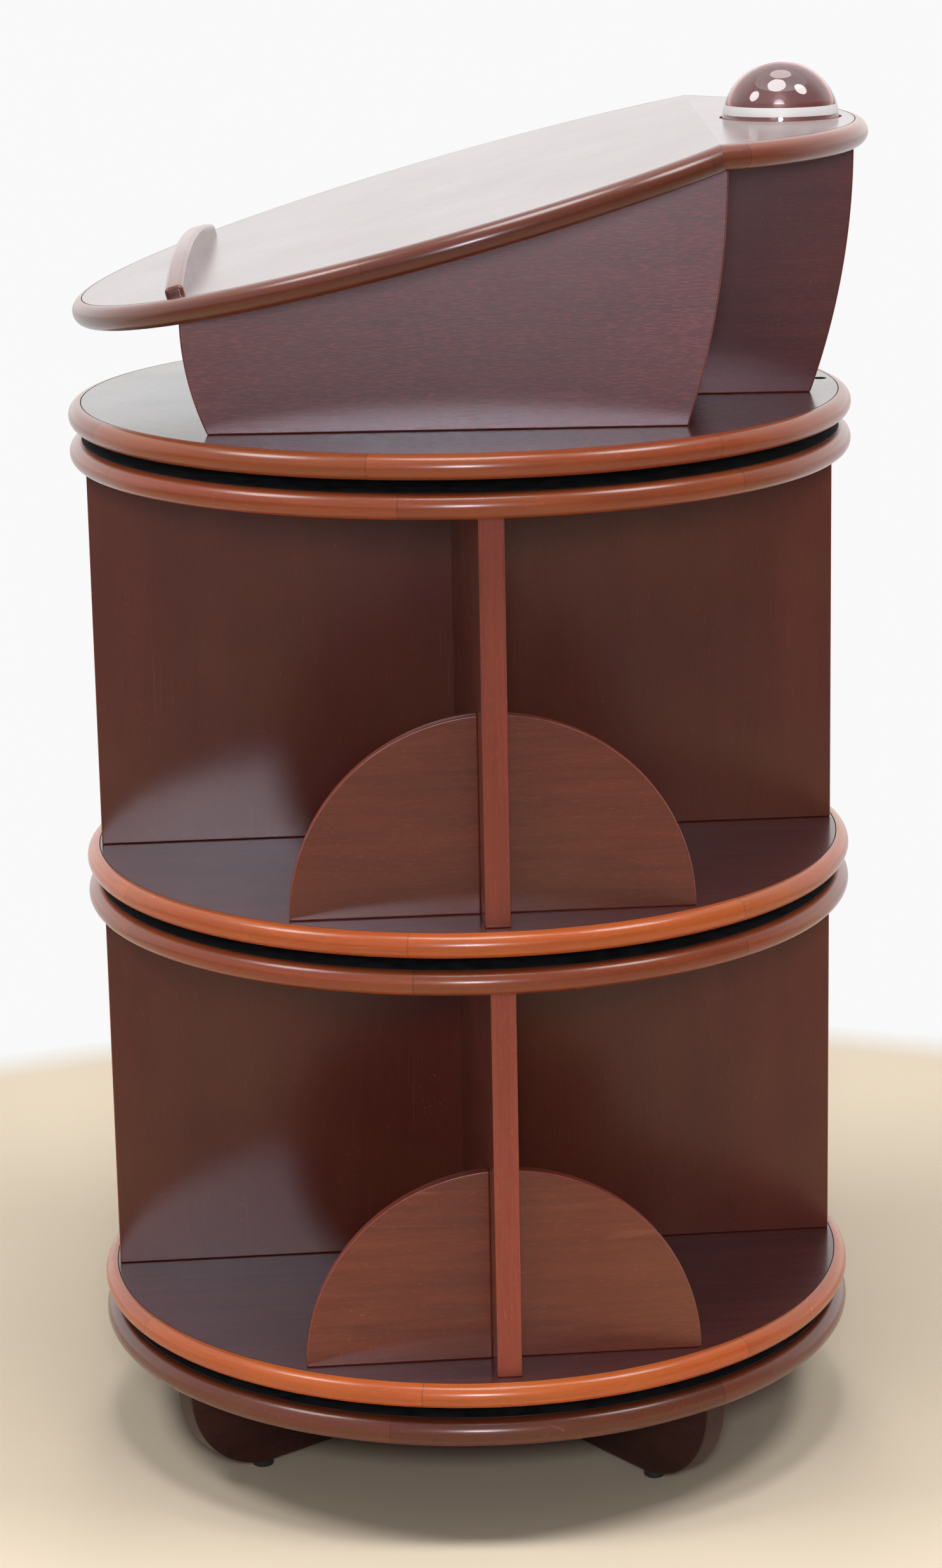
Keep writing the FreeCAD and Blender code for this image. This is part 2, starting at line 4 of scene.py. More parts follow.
import bmesh
import bpy
from mathutils import Matrix, Vector

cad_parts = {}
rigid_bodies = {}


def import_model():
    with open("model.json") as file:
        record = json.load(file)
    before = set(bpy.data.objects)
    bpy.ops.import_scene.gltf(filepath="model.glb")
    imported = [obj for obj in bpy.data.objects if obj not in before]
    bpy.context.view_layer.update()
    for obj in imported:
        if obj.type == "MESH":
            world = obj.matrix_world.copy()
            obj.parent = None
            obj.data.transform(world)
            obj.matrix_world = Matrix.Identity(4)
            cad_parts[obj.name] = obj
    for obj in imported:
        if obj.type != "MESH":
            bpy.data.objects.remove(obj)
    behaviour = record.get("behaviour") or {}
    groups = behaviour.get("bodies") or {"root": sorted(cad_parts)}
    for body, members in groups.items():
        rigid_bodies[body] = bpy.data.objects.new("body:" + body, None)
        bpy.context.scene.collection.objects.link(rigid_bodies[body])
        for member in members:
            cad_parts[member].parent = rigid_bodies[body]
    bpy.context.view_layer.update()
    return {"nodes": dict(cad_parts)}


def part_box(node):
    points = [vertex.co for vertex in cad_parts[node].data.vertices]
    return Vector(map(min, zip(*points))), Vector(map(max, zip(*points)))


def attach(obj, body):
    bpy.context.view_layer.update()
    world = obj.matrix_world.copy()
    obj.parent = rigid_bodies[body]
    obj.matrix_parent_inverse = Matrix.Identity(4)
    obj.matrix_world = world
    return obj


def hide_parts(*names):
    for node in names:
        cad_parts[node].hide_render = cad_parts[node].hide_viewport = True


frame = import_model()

bl_info = {
    "name": "Rotating Media Tower",
    "version": (1, 0, 0),
    "blender": (4, 5, 0),
    "location": "View3D > Sidebar > Tower",
    "description": "Dresses the packed tower in lacquered wood, glass and steel on a pale studio floor",
    "category": "Object",
}

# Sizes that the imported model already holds, in metres


def half_width(node, axis):
    low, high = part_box(node)
    return (high[axis] - low[axis]) / 2


def height_range(node):
    low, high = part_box(node)
    return low.z, high.z


disc_radius = half_width("lower_floor_disc", 0)
panel_radius = half_width("slope_panel", 1)
panel_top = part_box("flat_panel")[1].z
panel_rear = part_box("flat_panel")[1].x
crease_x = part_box("flat_panel")[0].x
lectern_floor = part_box("lectern_disc")[1].z
dome_low, dome_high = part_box("dome_magnifier")
ledge_half_length = half_width("book_ledge", 1)


# Kinds of property


def length_property(name, description, default):
    return bpy.props.FloatProperty(
        name=name, description=description, default=default, unit="LENGTH", subtype="DISTANCE")


def angle_property(name, description, degrees):
    return bpy.props.FloatProperty(
        name=name, description=description, default=math.radians(degrees), unit="ROTATION", subtype="ANGLE")


def colour_property(name, description, default):
    return bpy.props.FloatVectorProperty(
        name=name, description=description, default=default + (1.0,), size=4, subtype="COLOR", min=0, max=1)


def power_property(name, description, default):
    return bpy.props.FloatProperty(name=name, description=description, default=default, min=0, unit="POWER")


class TowerSizes(bpy.types.PropertyGroup):
    """Sizes of the finished wood that a user may change."""

    board_thickness: length_property(
        "Board thickness", "Thickness of the upright boards and the panels", 0.019)
    board_easing: length_property("Board easing", "Radius of the eased edges of the boards", 0.0012)
    lip_seam_width: length_property(
        "Lip seam width", "Width of the fine groove where a veneered top meets its round lip", 0.0008)
    lip_seam_depth: length_property(
        "Lip seam depth", "Depth of the fine groove where a veneered top meets its round lip", 0.0006)
    lower_turn: angle_property(
        "Lower tier turn", "How far the lower tier is turned to the left at rest", 4.8)
    upper_turn: angle_property(
        "Upper tier turn", "How far the upper tier is turned to the left at rest", 4.2)
    cross_reach: length_property("Cross board reach", "From the axis to the ends of a cross board", 0.293)
    partition_reach: length_property(
        "Partition reach", "From the axis to the outer edge of a partition", 0.286)
    bookend_radius: length_property("Bookend radius", "Radius of the quarter-round bookends", 0.152)
    bookend_thickness: length_property(
        "Bookend thickness", "Thickness of the quarter-round bookends", 0.0095)
    bookend_reach: length_property("Bookend reach", "From the axis to the outer face of a bookend", 0.247)
    foot_reach: length_property("Foot reach", "From the axis to the end of a foot board", 0.295)
    foot_turn: angle_property("Foot turn", "Direction of the left foot board, from the X axis", 38.5)
    slope_angle: angle_property("Slope angle", "How far the sloped panel falls from the level", 14.7)
    slope_shift: length_property(
        "Slope shift", "How far the sloped panel's centre lies in front of the axis", 0.0034)
    side_front_undercut: length_property(
        "Side front undercut", "How far a side board's front edge curves in at its foot", 0.018)
    side_rear_undercut: length_property(
        "Side rear undercut", "How far a side board's rear edge curves in at its foot", 0.0298)
    fin_undercut: length_property("Fin undercut", "How far a fin's rear edge curves in at its foot", 0.0325)
    ledge_distance: length_property(
        "Ledge distance", "From the crease down the slope to the face that books rest on", 0.40104)
    ledge_thickness: length_property("Ledge thickness", "Thickness of the book ledge", 0.014)
    ledge_end_height: length_property("Ledge end height", "Height of the book ledge at its ends", 0.007)
    ledge_crown_height: length_property(
        "Ledge crown height", "Height of the book ledge in its middle", 0.020)
    ledge_easing: length_property("Ledge easing", "Radius of the ledge's rounded edges", 0.0035)
    ledge_screw_shares: bpy.props.FloatVectorProperty(
        name="Ledge screw places", description="Places of the ledge's screws, as shares of half its length",
        default=(-0.7, 0.0, 0.7), size=3)
    sinking_radius: length_property(
        "Sinking radius", "Radius of the shallow sinkings round the ledge's screws", 0.0042)
    sinking_depth: length_property(
        "Sinking depth", "Depth of the shallow sinkings round the ledge's screws", 0.0006)
    recess_clearance: length_property("Recess clearance", "Room round the dome in its recess", 0.002)
    dome_band_rise: length_property(
        "Dome band rise", "From the panel's top up to the dome's satin band", 0.0032)
    dome_band_width: length_property(
        "Dome band width", "Height of the satin band ground into the dome", 0.0068)
    rim_hole_radius: length_property(
        "Rim hole radius", "Radius of the hole near the edge of the lectern disc", 0.006)
    rim_hole_reach: length_property("Rim hole reach", "From the axis to the middle of the rim hole", 0.2846)
    rim_hole_angle: angle_property("Rim hole angle", "Direction of the rim hole from the X axis", 4.9)


class TowerColours(bpy.types.PropertyGroup):
    """Middle tones of the finishes. Grain, pores and marks vary each of them."""

    veneer: colour_property("Veneer", "Dark red veneer of the discs and the panels", (0.07, 0.016, 0.015))
    # The tier floors' lips are set brighter and the other lips deeper: partly the woods' own tones, partly
    # painted light and shade, as the tier floors' lips lie open to the light above while the others lie under
    # a disc or the panels
    lip: colour_property(
        "Lip", "Bright orange-brown wood of the tier floors' round lips", (0.47, 0.094, 0.02))
    deep_lip: colour_property(
        "Deep lip", "Deeper red-brown wood of the other round lips", (0.26, 0.052, 0.017))
    panel_lip: colour_property(
        "Panel lip", "Dark red-brown wood of the lectern panels' round lip", (0.11, 0.024, 0.0125))
    base_lip: colour_property(
        "Base lip", "Dark brown wood of the base disc's round lip", (0.15, 0.034, 0.015))
    inner_board: colour_property(
        "Inner board", "Veneer of the boards inside the tiers", (0.125, 0.025, 0.016))
    board_edge: colour_property(
        "Board edge", "Brick-red lipping on the edges of the boards", (0.27, 0.05, 0.028))
    side_board: colour_property(
        "Side board", "Veneer of the lectern's side boards and fins", (0.13, 0.023, 0.026))
    bookend: colour_property("Bookend", "Red-brown wood of the bookends", (0.165, 0.038, 0.021))
    # The foot colour is the wood's dark brown, darkened further as painted shade, for the feet lie under the
    # base disc
    foot: colour_property("Foot", "Brown wood of the foot boards", (0.042, 0.011, 0.008))
    ledge: colour_property("Ledge", "Brown wood of the book ledge", (0.11, 0.028, 0.018))
    recess: colour_property("Recess", "Red wood of the recess under the dome", (0.28, 0.047, 0.028))
    dowel: colour_property("Dowel", "Bare wood of the hidden dowels", (0.55, 0.38, 0.22))
    steel: colour_property("Steel", "Bright steel of the balls and the screws", (0.56, 0.56, 0.55))
    black_steel: colour_property("Black steel", "Blackened steel of the bearing rings", (0.03, 0.03, 0.032))
    # Black for two marks: the fine dark seam at each lip, a real dark joint, and the disc faces in the gaps
    # between the discs, where it is painted shade
    seam_black_and_gap_shade: colour_property(
        "Black stain", "Matt black faces in the gaps between the discs", (0.006, 0.006, 0.007))
    plastic: colour_property("Plastic", "Dark plastic of the glides", (0.02, 0.018, 0.017))
    # The satin band is opaque and pale: a ground band whose brightness is partly painted light, standing for
    # the bright band that the glass shows at its foot
    satin: colour_property("Satin band", "Pale ground band round the foot of the dome", (0.72, 0.71, 0.7))
    glass: colour_property("Glass", "Clear dome", (0.985, 0.99, 0.99))


class TowerStage(bpy.types.PropertyGroup):
    """The floor, the lamps and the camera."""

    floor_colour: colour_property("Floor colour", "Pale floor under the tower", (0.83, 0.71, 0.55))
    floor_radius: length_property("Floor radius", "Radius at which the round floor fades to white", 1.2)
    floor_shift: length_property(
        "Floor shift", "From the tower's axis to the middle of the round floor, along Y", -0.22)
    floor_fade: length_property("Floor fade", "Half the width of the floor's fade to white", 0.04)
    side_power: power_property("Side power", "Power of each of the lamps to the left and the right", 26.0)
    top_power: power_property("Top power", "Power of the broad lamp overhead", 34.0)
    front_power: power_property("Front power", "Power of the lamp over the camera", 23.0)
    flash_power: power_property(
        "Flash power", "Power of the flash at the camera, which only reflections see", 42.0)
    flash_tint: bpy.props.FloatVectorProperty(
        name="Flash tint", description="Cool colour of the flash at the camera",
        default=(0.84, 0.86, 1.0), subtype="COLOR", min=0, max=1)
    back_power: power_property("Back power", "Power of the lamp behind the tower", 16.0)
    room_light: bpy.props.FloatProperty(
        name="Room light", description="Strength of the even light from all around",
        default=0.18, min=0)
    background: bpy.props.FloatProperty(
        name="Background", description="Brightness of the background, where 1 is white",
        default=0.95, min=0)
    wall_glow: bpy.props.FloatProperty(
        name="Wall glow", description="Brightness of the white wall behind in reflections",
        default=1.3, min=0)
    wall_distance: length_property(
        "Wall distance", "From the tower's axis back to the white wall that reflections see", 0.88)
    camera_distance: length_property(
        "Camera distance", "From the tower's axis to the camera, along Y", 3.03334)
    camera_height: length_property("Camera height", "Height of the camera over the floor", 1.30809)
    camera_pitch: angle_property("Camera pitch", "How far the camera looks down", 14.511)
    camera_yaw: angle_property("Camera yaw", "How far the camera looks to the right", 0.062)
    camera_roll: angle_property("Camera roll", "How far the camera is rolled to the right", 1.102)
    camera_lens: bpy.props.FloatProperty(
        name="Camera lens", description="Focal length of the camera, in millimetres",
        default=89.69, unit="CAMERA")


# Shader nodes


def node(tree, kind, inputs=None, **settings):
    """A new node with its settings, and with its inputs linked or set."""
    made = tree.nodes.new(kind)
    for key, value in settings.items():
        setattr(made, key, value)
    for key, value in (inputs or {}).items():
        socket = made.inputs[key]
        if isinstance(value, bpy.types.NodeSocket):
            tree.links.new(value, socket)
        else:
            socket.default_value = value
    return made


def calculated(tree, operation, first, second=0.0):
    return node(tree, "ShaderNodeMath", {0: first, 1: second}, operation=operation).outputs[0]


def stretched(tree, place, scale):
    """A place times a scale along each axis, for a pattern that is longer than it is wide."""
    return node(tree, "ShaderNodeVectorMath", {0: place, 1: scale}, operation="MULTIPLY").outputs[0]


def noise(tree, place, scale=1.0, detail=2.0, roughness=0.5, distortion=0.0):
    inputs = {"Vector": place, "Scale": scale, "Detail": detail, "Roughness": roughness,
              "Distortion": distortion}
    return node(tree, "ShaderNodeTexNoise", inputs).outputs["Fac"]


def ranged(tree, value, start, end, low=0.0, high=1.0):
    """A value between start and end, taken to between low and high and held there."""
    inputs = {"Value": value, "From Min": start, "From Max": end, "To Min": low, "To Max": high}
    return node(tree, "ShaderNodeMapRange", inputs, clamp=True).outputs["Result"]


def between(tree, factor, first, second):
    """A value between two values."""
    return node(tree, "ShaderNodeMix", {0: factor, 2: first, 3: second}, data_type="FLOAT").outputs[0]


def mixed(tree, factor, first, second, blend_type="MIX"):
    """A colour between two colours."""
    inputs = {0: factor, 6: first, 7: second}
    return node(tree, "ShaderNodeMix", inputs, data_type="RGBA", blend_type=blend_type).outputs[2]


def object_place(tree):
    return node(tree, "ShaderNodeTexCoord").outputs["Object"]


def shaded(colour, factor):
    return tuple(min(1.0, channel * factor) for channel in colour[:3]) + (1.0,)


# Patterns that the finishes share. Their scales are per metre, along the grain and then across it

fibre_scale = (28.0, 620.0, 620.0)
pore_scale = (150.0, 1400.0, 1400.0)
scratch_scale = (9.0, 900.0, 120.0)


def wood_figure(tree, given):
    """Broad figure, fine fibre, short pores and their relief, with the grain along X."""
    place = given["Place"]
    along = calculated(tree, "DIVIDE", 1.0, given["Figure length"])
    across = calculated(tree, "DIVIDE", 1.0, given["Figure width"])
    scale = node(tree, "ShaderNodeCombineXYZ", {"X": along, "Y": across, "Z": across}).outputs[0]
    broad = noise(tree, stretched(tree, place, scale), detail=4.0, roughness=0.55, distortion=0.8)
    fibre = noise(tree, stretched(tree, place, fibre_scale), detail=3.0, roughness=0.65)
    fine = noise(tree, stretched(tree, place, pore_scale), detail=1.0, roughness=0.4)
    lowered = calculated(tree, "MULTIPLY", given["Pore density"], 0.2)
    least = calculated(tree, "SUBTRACT", 0.7, lowered)
    pores = ranged(tree, fine, least, calculated(tree, "ADD", least, 0.1))
    relief = calculated(tree, "SUBTRACT", fibre, pores)
    return {"Figure": ranged(tree, broad, 0.3, 0.72), "Fibre": fibre, "Pores": pores, "Relief": relief}


def rim_run(tree, given):
    """Takes a place on a round lip to a place along its run, and gives each jointed length its own tone."""
    parts = node(tree, "ShaderNodeSeparateXYZ", {0: given["Place"]}).outputs
    angle = calculated(tree, "ARCTAN2", parts["Y"], parts["X"])
    level = node(tree, "ShaderNodeCombineXYZ", {"X": parts["X"], "Y": parts["Y"]}).outputs[0]
    radius = node(tree, "ShaderNodeVectorMath", {0: level}, operation="LENGTH").outputs["Value"]
    run = calculated(tree, "MULTIPLY", angle, disc_radius)
    turns = calculated(tree, "DIVIDE", angle, math.tau)
    counted = calculated(tree, "MULTIPLY", turns, given["Segments"])
    piece = calculated(tree, "FLOOR", counted)
    share = calculated(tree, "FRACT", counted)
    edge = calculated(tree, "MINIMUM", share, calculated(tree, "SUBTRACT", 1.0, share))
    layer = calculated(tree, "ROUND", parts["Z"])
    seed = node(tree, "ShaderNodeCombineXYZ", {"X": piece, "Y": layer}).outputs[0]
    tone = node(tree, "ShaderNodeTexWhiteNoise", {"Vector": seed}, noise_dimensions="3D").outputs["Value"]
    shifted = calculated(tree, "ADD", radius, piece)
    place = node(tree, "ShaderNodeCombineXYZ", {"X": run, "Y": parts["Z"], "Z": shifted}).outputs[0]
    return {"Place": place, "Tone": tone, "Joint": ranged(tree, edge, 0.0, 0.003, 1.0, 0.0)}


def handling_marks(tree, given):
    """Sparse pale scuffs and fine scratches from use, and a little dust."""
    place = given["Place"]
    spots = ranged(tree, noise(tree, place, scale=260.0, roughness=0.6), 0.66, 0.74)
    areas = ranged(tree, noise(tree, place, scale=14.0, roughness=0.6), 0.55, 0.7)
    lines = noise(tree, stretched(tree, place, scratch_scale), detail=0.0, distortion=0.4)
    zones = ranged(tree, noise(tree, place, scale=7.0, detail=1.0), 0.56, 0.66)
    return {
        "Scuffs": calculated(tree, "MULTIPLY", spots, areas),
        "Scratches": calculated(tree, "MULTIPLY", ranged(tree, lines, 0.76, 0.8), zones),
        "Dust": ranged(tree, noise(tree, place, scale=1500.0, detail=1.0), 0.7, 0.78),
    }


def lacquer_film(tree, given):
    """The slow ripple of a sprayed film and its patches of duller and brighter sheen."""
    place = given["Place"]
    clouds = noise(tree, place, scale=9.0, detail=3.0, roughness=0.6)
    return {"Ripple": noise(tree, place, scale=70.0), "Sheen": ranged(tree, clouds, 0.35, 0.7)}


patterns = {
    "Wood figure": (("Place", "Figure length", "Figure width", "Pore density"),
                    ("Figure", "Fibre", "Pores", "Relief"), wood_figure),
    "Rim run": (("Place", "Segments"), ("Place", "Tone", "Joint"), rim_run),
    "Handling marks": (("Place",), ("Scuffs", "Scratches", "Dust"), handling_marks),
    "Lacquer film": (("Place",), ("Ripple", "Sheen"), lacquer_film),
}


def pattern_group(name):
    """A pattern's node group with named sockets, made when it is first asked for."""
    tree = bpy.data.node_groups.get(name)
    if tree:
        return tree
    tree = bpy.data.node_groups.new(name, "ShaderNodeTree")
    given, results, fill = patterns[name]
    for way, socket_names in (("INPUT", given), ("OUTPUT", results)):
        for socket_name in socket_names:
            kind = "NodeSocketVector" if socket_name == "Place" else "NodeSocketFloat"
            tree.interface.new_socket(socket_name, in_out=way, socket_type=kind)
    start, end = tree.nodes.new("NodeGroupInput"), tree.nodes.new("NodeGroupOutput")
    for socket_name, value in fill(tree, start.outputs).items():
        tree.links.new(value, end.inputs[socket_name])
    return tree


def patterned(tree, name, place, **values):
    """The outputs of a pattern at a place of a material."""
    inputs = {key.replace("_", " ").capitalize(): value for key, value in values.items()}
    return node(tree, "ShaderNodeGroup", {"Place": place, **inputs}, node_tree=pattern_group(name)).outputs


# Kinds of finish

dust_colour = (0.5, 0.47, 0.45, 1)
wear_colour = (0.5, 0.48, 0.46, 1)
darkest_length = (0.82, 0.8, 0.78, 1)
brightest_length = (1.2, 1.2, 1.16, 1)
joint_tone = 0.3
joint_share = 0.55
thread_tone = 0.5
scuff_share = 0.5
scratch_share = 0.22
dust_share = 0.12
wear_share = 0.35
relief_share = 0.35
stain_roughness = (0.36, 0.46)
film_weights = (0.9, 0.35)


def new_material(name):
    material = bpy.data.materials.new(name)
    material.use_nodes = True
    material.node_tree.nodes.clear()
    return material, material.node_tree


def shade_with(tree, inputs):
    """The material's one shader, and its output."""
    shader = node(tree, "ShaderNodeBsdfPrincipled", inputs)
    node(tree, "ShaderNodeOutputMaterial", {"Surface": shader.outputs[0]})


def bumped(tree, height, strength, distance):
    inputs = {"Strength": strength, "Distance": distance, "Height": height}
    return node(tree, "ShaderNodeBump", inputs).outputs["Normal"]


def lacquered_wood(name, colour, figure_length, figure_width, depth, pore_density, pore_share, film_roughness,
                   sheen=0.08, film_ior=1.4, warmth=0.0, segments=0):
    """Stained wood under clear lacquer. Segments above zero make a round lip of jointed lengths."""
    made = bpy.data.materials.get(name)
    if made:
        return made
    material, tree = new_material(name)
    red, green, blue = colour[:3]
    own_place = node(tree, "ShaderNodeAttribute", attribute_name="grain").outputs["Vector"]
    place = own_place
    if segments:
        run = patterned(tree, "Rim run", own_place, segments=segments)
        place = run["Place"]
    figure = patterned(tree, "Wood figure", place, figure_length=figure_length, figure_width=figure_width,
                       pore_density=pore_density)
    marks = patterned(tree, "Handling marks", own_place)
    film = patterned(tree, "Lacquer film", own_place)
    base = mixed(tree, figure["Figure"], shaded(colour, 1 - depth), shaded(colour, 1 + depth))
    if warmth:
        patches = ranged(tree, noise(tree, own_place, scale=6.0), 0.42, 0.68, 0.0, warmth)
        warm = (red * 1.25, green * 1.9, blue * 1.3, 1)
        base = mixed(tree, patches, base, warm)
    if segments:
        tones = mixed(tree, run["Tone"], darkest_length, brightest_length)
        base = mixed(tree, 1.0, base, tones, "MULTIPLY")
        joint = calculated(tree, "MULTIPLY", run["Joint"], joint_share)
        base = mixed(tree, joint, base, shaded(colour, joint_tone))
    threads = ranged(tree, figure["Fibre"], 0.35, 0.7, 0.0, depth)
    base = mixed(tree, threads, base, shaded(colour, thread_tone))
    pale = (min(1, red * 2.2 + 0.05), min(1, green * 2.6 + 0.035), min(1, blue * 2.6 + 0.035), 1)
    pores = calculated(tree, "MULTIPLY", figure["Pores"], pore_share)
    base = mixed(tree, pores, base, pale)
    worn = calculated(tree, "MULTIPLY", marks["Scuffs"], scuff_share)
    scratched = calculated(tree, "MULTIPLY", marks["Scratches"], scratch_share)
    base = mixed(tree, calculated(tree, "MAXIMUM", worn, scratched), base, pale)
    dusty = calculated(tree, "MULTIPLY", marks["Dust"], dust_share)
    base = mixed(tree, dusty, base, dust_colour)
    rough = ranged(tree, film["Sheen"], 0.0, 1.0, *stain_roughness)
    coat = ranged(tree, calculated(tree, "ADD", pores, worn), 0.0, 1.0, *film_weights)
    relief = calculated(tree, "MULTIPLY", figure["Relief"], relief_share)
    height = calculated(tree, "ADD", relief, film["Ripple"])
    shade_with(tree, {
        "Base Color": base, "Roughness": rough, "Specular IOR Level": sheen, "Coat Weight": coat,
        "Coat Roughness": film_roughness, "Coat IOR": film_ior,
        "Normal": bumped(tree, height, strength=0.12, distance=0.0006),
    })
    return material


def bare_wood(name, colour):
    made = bpy.data.materials.get(name)
    if made:
        return made
    material, tree = new_material(name)
    figure = patterned(tree, "Wood figure", object_place(tree), figure_length=0.05, figure_width=0.003,
                       pore_density=0.4)
    base = mixed(tree, figure["Figure"], shaded(colour, 0.75), shaded(colour, 1.15))
    rough = ranged(tree, figure["Fibre"], 0.3, 0.7, 0.55, 0.75)
    normal = bumped(tree, figure["Relief"], strength=0.3, distance=0.0003)
    shade_with(tree, {"Base Color": base, "Roughness": rough, "Normal": normal})
    return material


def worked_metal(name, colour, roughness, metallic=1.0):
    """Turned or pressed metal, or moulded plastic where it isn't metallic, with fine wear."""
    made = bpy.data.materials.get(name)
    if made:
        return made
    material, tree = new_material(name)
    place = object_place(tree)
    film = patterned(tree, "Lacquer film", place)
    worn = calculated(tree, "MULTIPLY", patterned(tree, "Handling marks", place)["Scuffs"], wear_share)
    base = mixed(tree, film["Sheen"], shaded(colour, 0.8), shaded(colour, 1.15))
    base = mixed(tree, worn, base, wear_colour)
    rough = ranged(tree, film["Ripple"], 0.3, 0.7, roughness * 0.8, roughness * 1.2)
    normal = bumped(tree, film["Ripple"], strength=0.08, distance=0.0004)
    shade_with(tree, {"Base Color": base, "Roughness": rough, "Metallic": metallic, "Normal": normal})
    return material


def clear_glass(name, colour):
    """A polished clear dome with the faintest smears and specks of dust."""
    made = bpy.data.materials.get(name)
    if made:
        return made
    material, tree = new_material(name)
    place = object_place(tree)
    dust = patterned(tree, "Handling marks", place)["Dust"]
    smears = patterned(tree, "Lacquer film", place)["Sheen"]
    paths = node(tree, "ShaderNodeLightPath").outputs
    lighting = calculated(tree, "MAXIMUM", paths["Is Shadow Ray"], paths["Is Diffuse Ray"])
    shade_with(tree, {
        "Base Color": mixed(tree, dust, tuple(colour), shaded(colour, 0.9)),
        "Roughness": ranged(tree, smears, 0.6, 1.0, 0.0, 0.02), "IOR": 1.49, "Transmission Weight": 1.0,
        "Alpha": ranged(tree, lighting, 0.0, 1.0, 1.0, 0.08)})
    return material


# Finishes of this tower. The lower tier's lipping and bookends take lighter copies of their colours than the
# upper tier's

lipping_tones = {"lower": 1.2, "upper": 0.9}
bookend_tones = {"lower": 1.2, "upper": 0.95}
# The foot boards' edges take a darker copy of the foot colour, as painted shade
foot_edge_painted_shade = 0.9
# The fins take a darker copy of the side board colour, as painted shade for their place deep behind the side
# boards
fin_painted_shade = 0.8
flat_lip_tone = 1.4
# The recess wall takes a darker copy of the recess wood, as painted shade inside the recess under the dome
recess_wall_painted_shade = 0.4
cage_tone = 0.7
screw_tone = 0.9


def veneer_finish(colours):
    return lacquered_wood(
        "Dark red veneer", colours.veneer, figure_length=0.3, figure_width=0.014, depth=0.25,
        pore_density=0.5, pore_share=0.16, film_roughness=0.17, sheen=0.1, film_ior=1.5)


def round_lip_finish(name, colour):
    return lacquered_wood(
        name, colour, figure_length=0.16, figure_width=0.006, depth=0.16, pore_density=0.4,
        pore_share=0.12, film_roughness=0.23, film_ior=1.43, warmth=0.3, segments=7)


def inner_board_finish(colours):
    return lacquered_wood(
        "Inner board veneer", colours.inner_board, figure_length=0.5, figure_width=0.06, depth=0.14,
        pore_density=0.4, pore_share=0.08, film_roughness=0.25, warmth=0.6)


def board_edge_finish(colours, name="Board lipping", tone=1.0):
    return lacquered_wood(
        name, shaded(colours.board_edge, tone), figure_length=0.2, figure_width=0.006, depth=0.18,
        pore_density=0.4, pore_share=0.2, film_roughness=0.28)


def side_board_finish(colours):
    return lacquered_wood(
        "Side board veneer", colours.side_board, figure_length=0.3, figure_width=0.012, depth=0.2,
        pore_density=0.85, pore_share=0.5, film_roughness=0.3, sheen=0.25, film_ior=1.45, warmth=0.5)


# Painted shade: the fins' veneer is the side boards' colour darkened
def fin_finish(colours):
    return lacquered_wood(
        "Fin veneer", shaded(colours.side_board, fin_painted_shade), figure_length=0.3, figure_width=0.012,
        depth=0.2, pore_density=0.6, pore_share=0.2, film_roughness=0.28, film_ior=1.33, warmth=0.5)


def bookend_finish(colours, name, tone):
    return lacquered_wood(
        name, shaded(colours.bookend, tone), figure_length=0.12, figure_width=0.008, depth=0.2,
        pore_density=0.45, pore_share=0.15, film_roughness=0.26, warmth=0.3)


def foot_finish(name, colour, figure_length, figure_width):
    return lacquered_wood(
        name, colour, figure_length, figure_width, depth=0.25, pore_density=0.5, pore_share=0.2,
        film_roughness=0.45, film_ior=1.3)


def ledge_finish(colours):
    return lacquered_wood(
        "Ledge wood", colours.ledge, figure_length=0.12, figure_width=0.006, depth=0.25,
        pore_density=0.5, pore_share=0.2, film_roughness=0.2)


def recess_finish(name, colour):
    return lacquered_wood(
        name, colour, figure_length=0.1, figure_width=0.006, depth=0.2, pore_density=0.4, pore_share=0.1,
        film_roughness=0.35)


# Black for the lip seams, and painted shade on the disc faces in the gaps between the discs
def seam_and_gap_shade_finish(colours):
    return worked_metal("Black seam and gap shade", colours.seam_black_and_gap_shade, roughness=0.7, metallic=0.0)


# Meshes

merge_distance = 1e-6
sharp_angle = math.radians(35)
easing_angle = math.radians(30)

# How far a face has to look along an axis to be a board's end, a level face or a broad face
end_facing = 0.3
level_facing = 0.5
broad_facing = 0.95

# Steps along arcs and round full turns
lip_steps = 20
end_steps = 24
bookend_steps = 40
arch_steps = 48
dome_arc_steps = (4, 6, 40)
hole_steps = 48
recess_steps = 128
dome_steps = 160
disc_steps = 192


def spun(profile, steps):
    """A solid turned about Z from (radius, height) points, from its axis out and back to its axis."""
    bm = bmesh.new()
    verts = [bm.verts.new((radius, 0, height)) for radius, height in profile]
    edges = [bm.edges.new(pair) for pair in zip(verts, verts[1:])]
    bmesh.ops.spin(bm, geom=verts + edges, cent=(0, 0, 0), axis=(0, 0, 1), dvec=(0, 0, 0),
                   angle=math.tau, steps=steps, use_merge=True)
    bmesh.ops.remove_doubles(bm, verts=bm.verts, dist=merge_distance)
    bmesh.ops.recalc_face_normals(bm, faces=bm.faces)
    return bm


def arc_points(centre, radius, start, end, count):
    """Points on an arc, both ends left out."""
    angles = [start + (end - start) * step / count for step in range(1, count)]
    return [(centre[0] + radius * math.cos(a), centre[1] + radius * math.sin(a)) for a in angles]


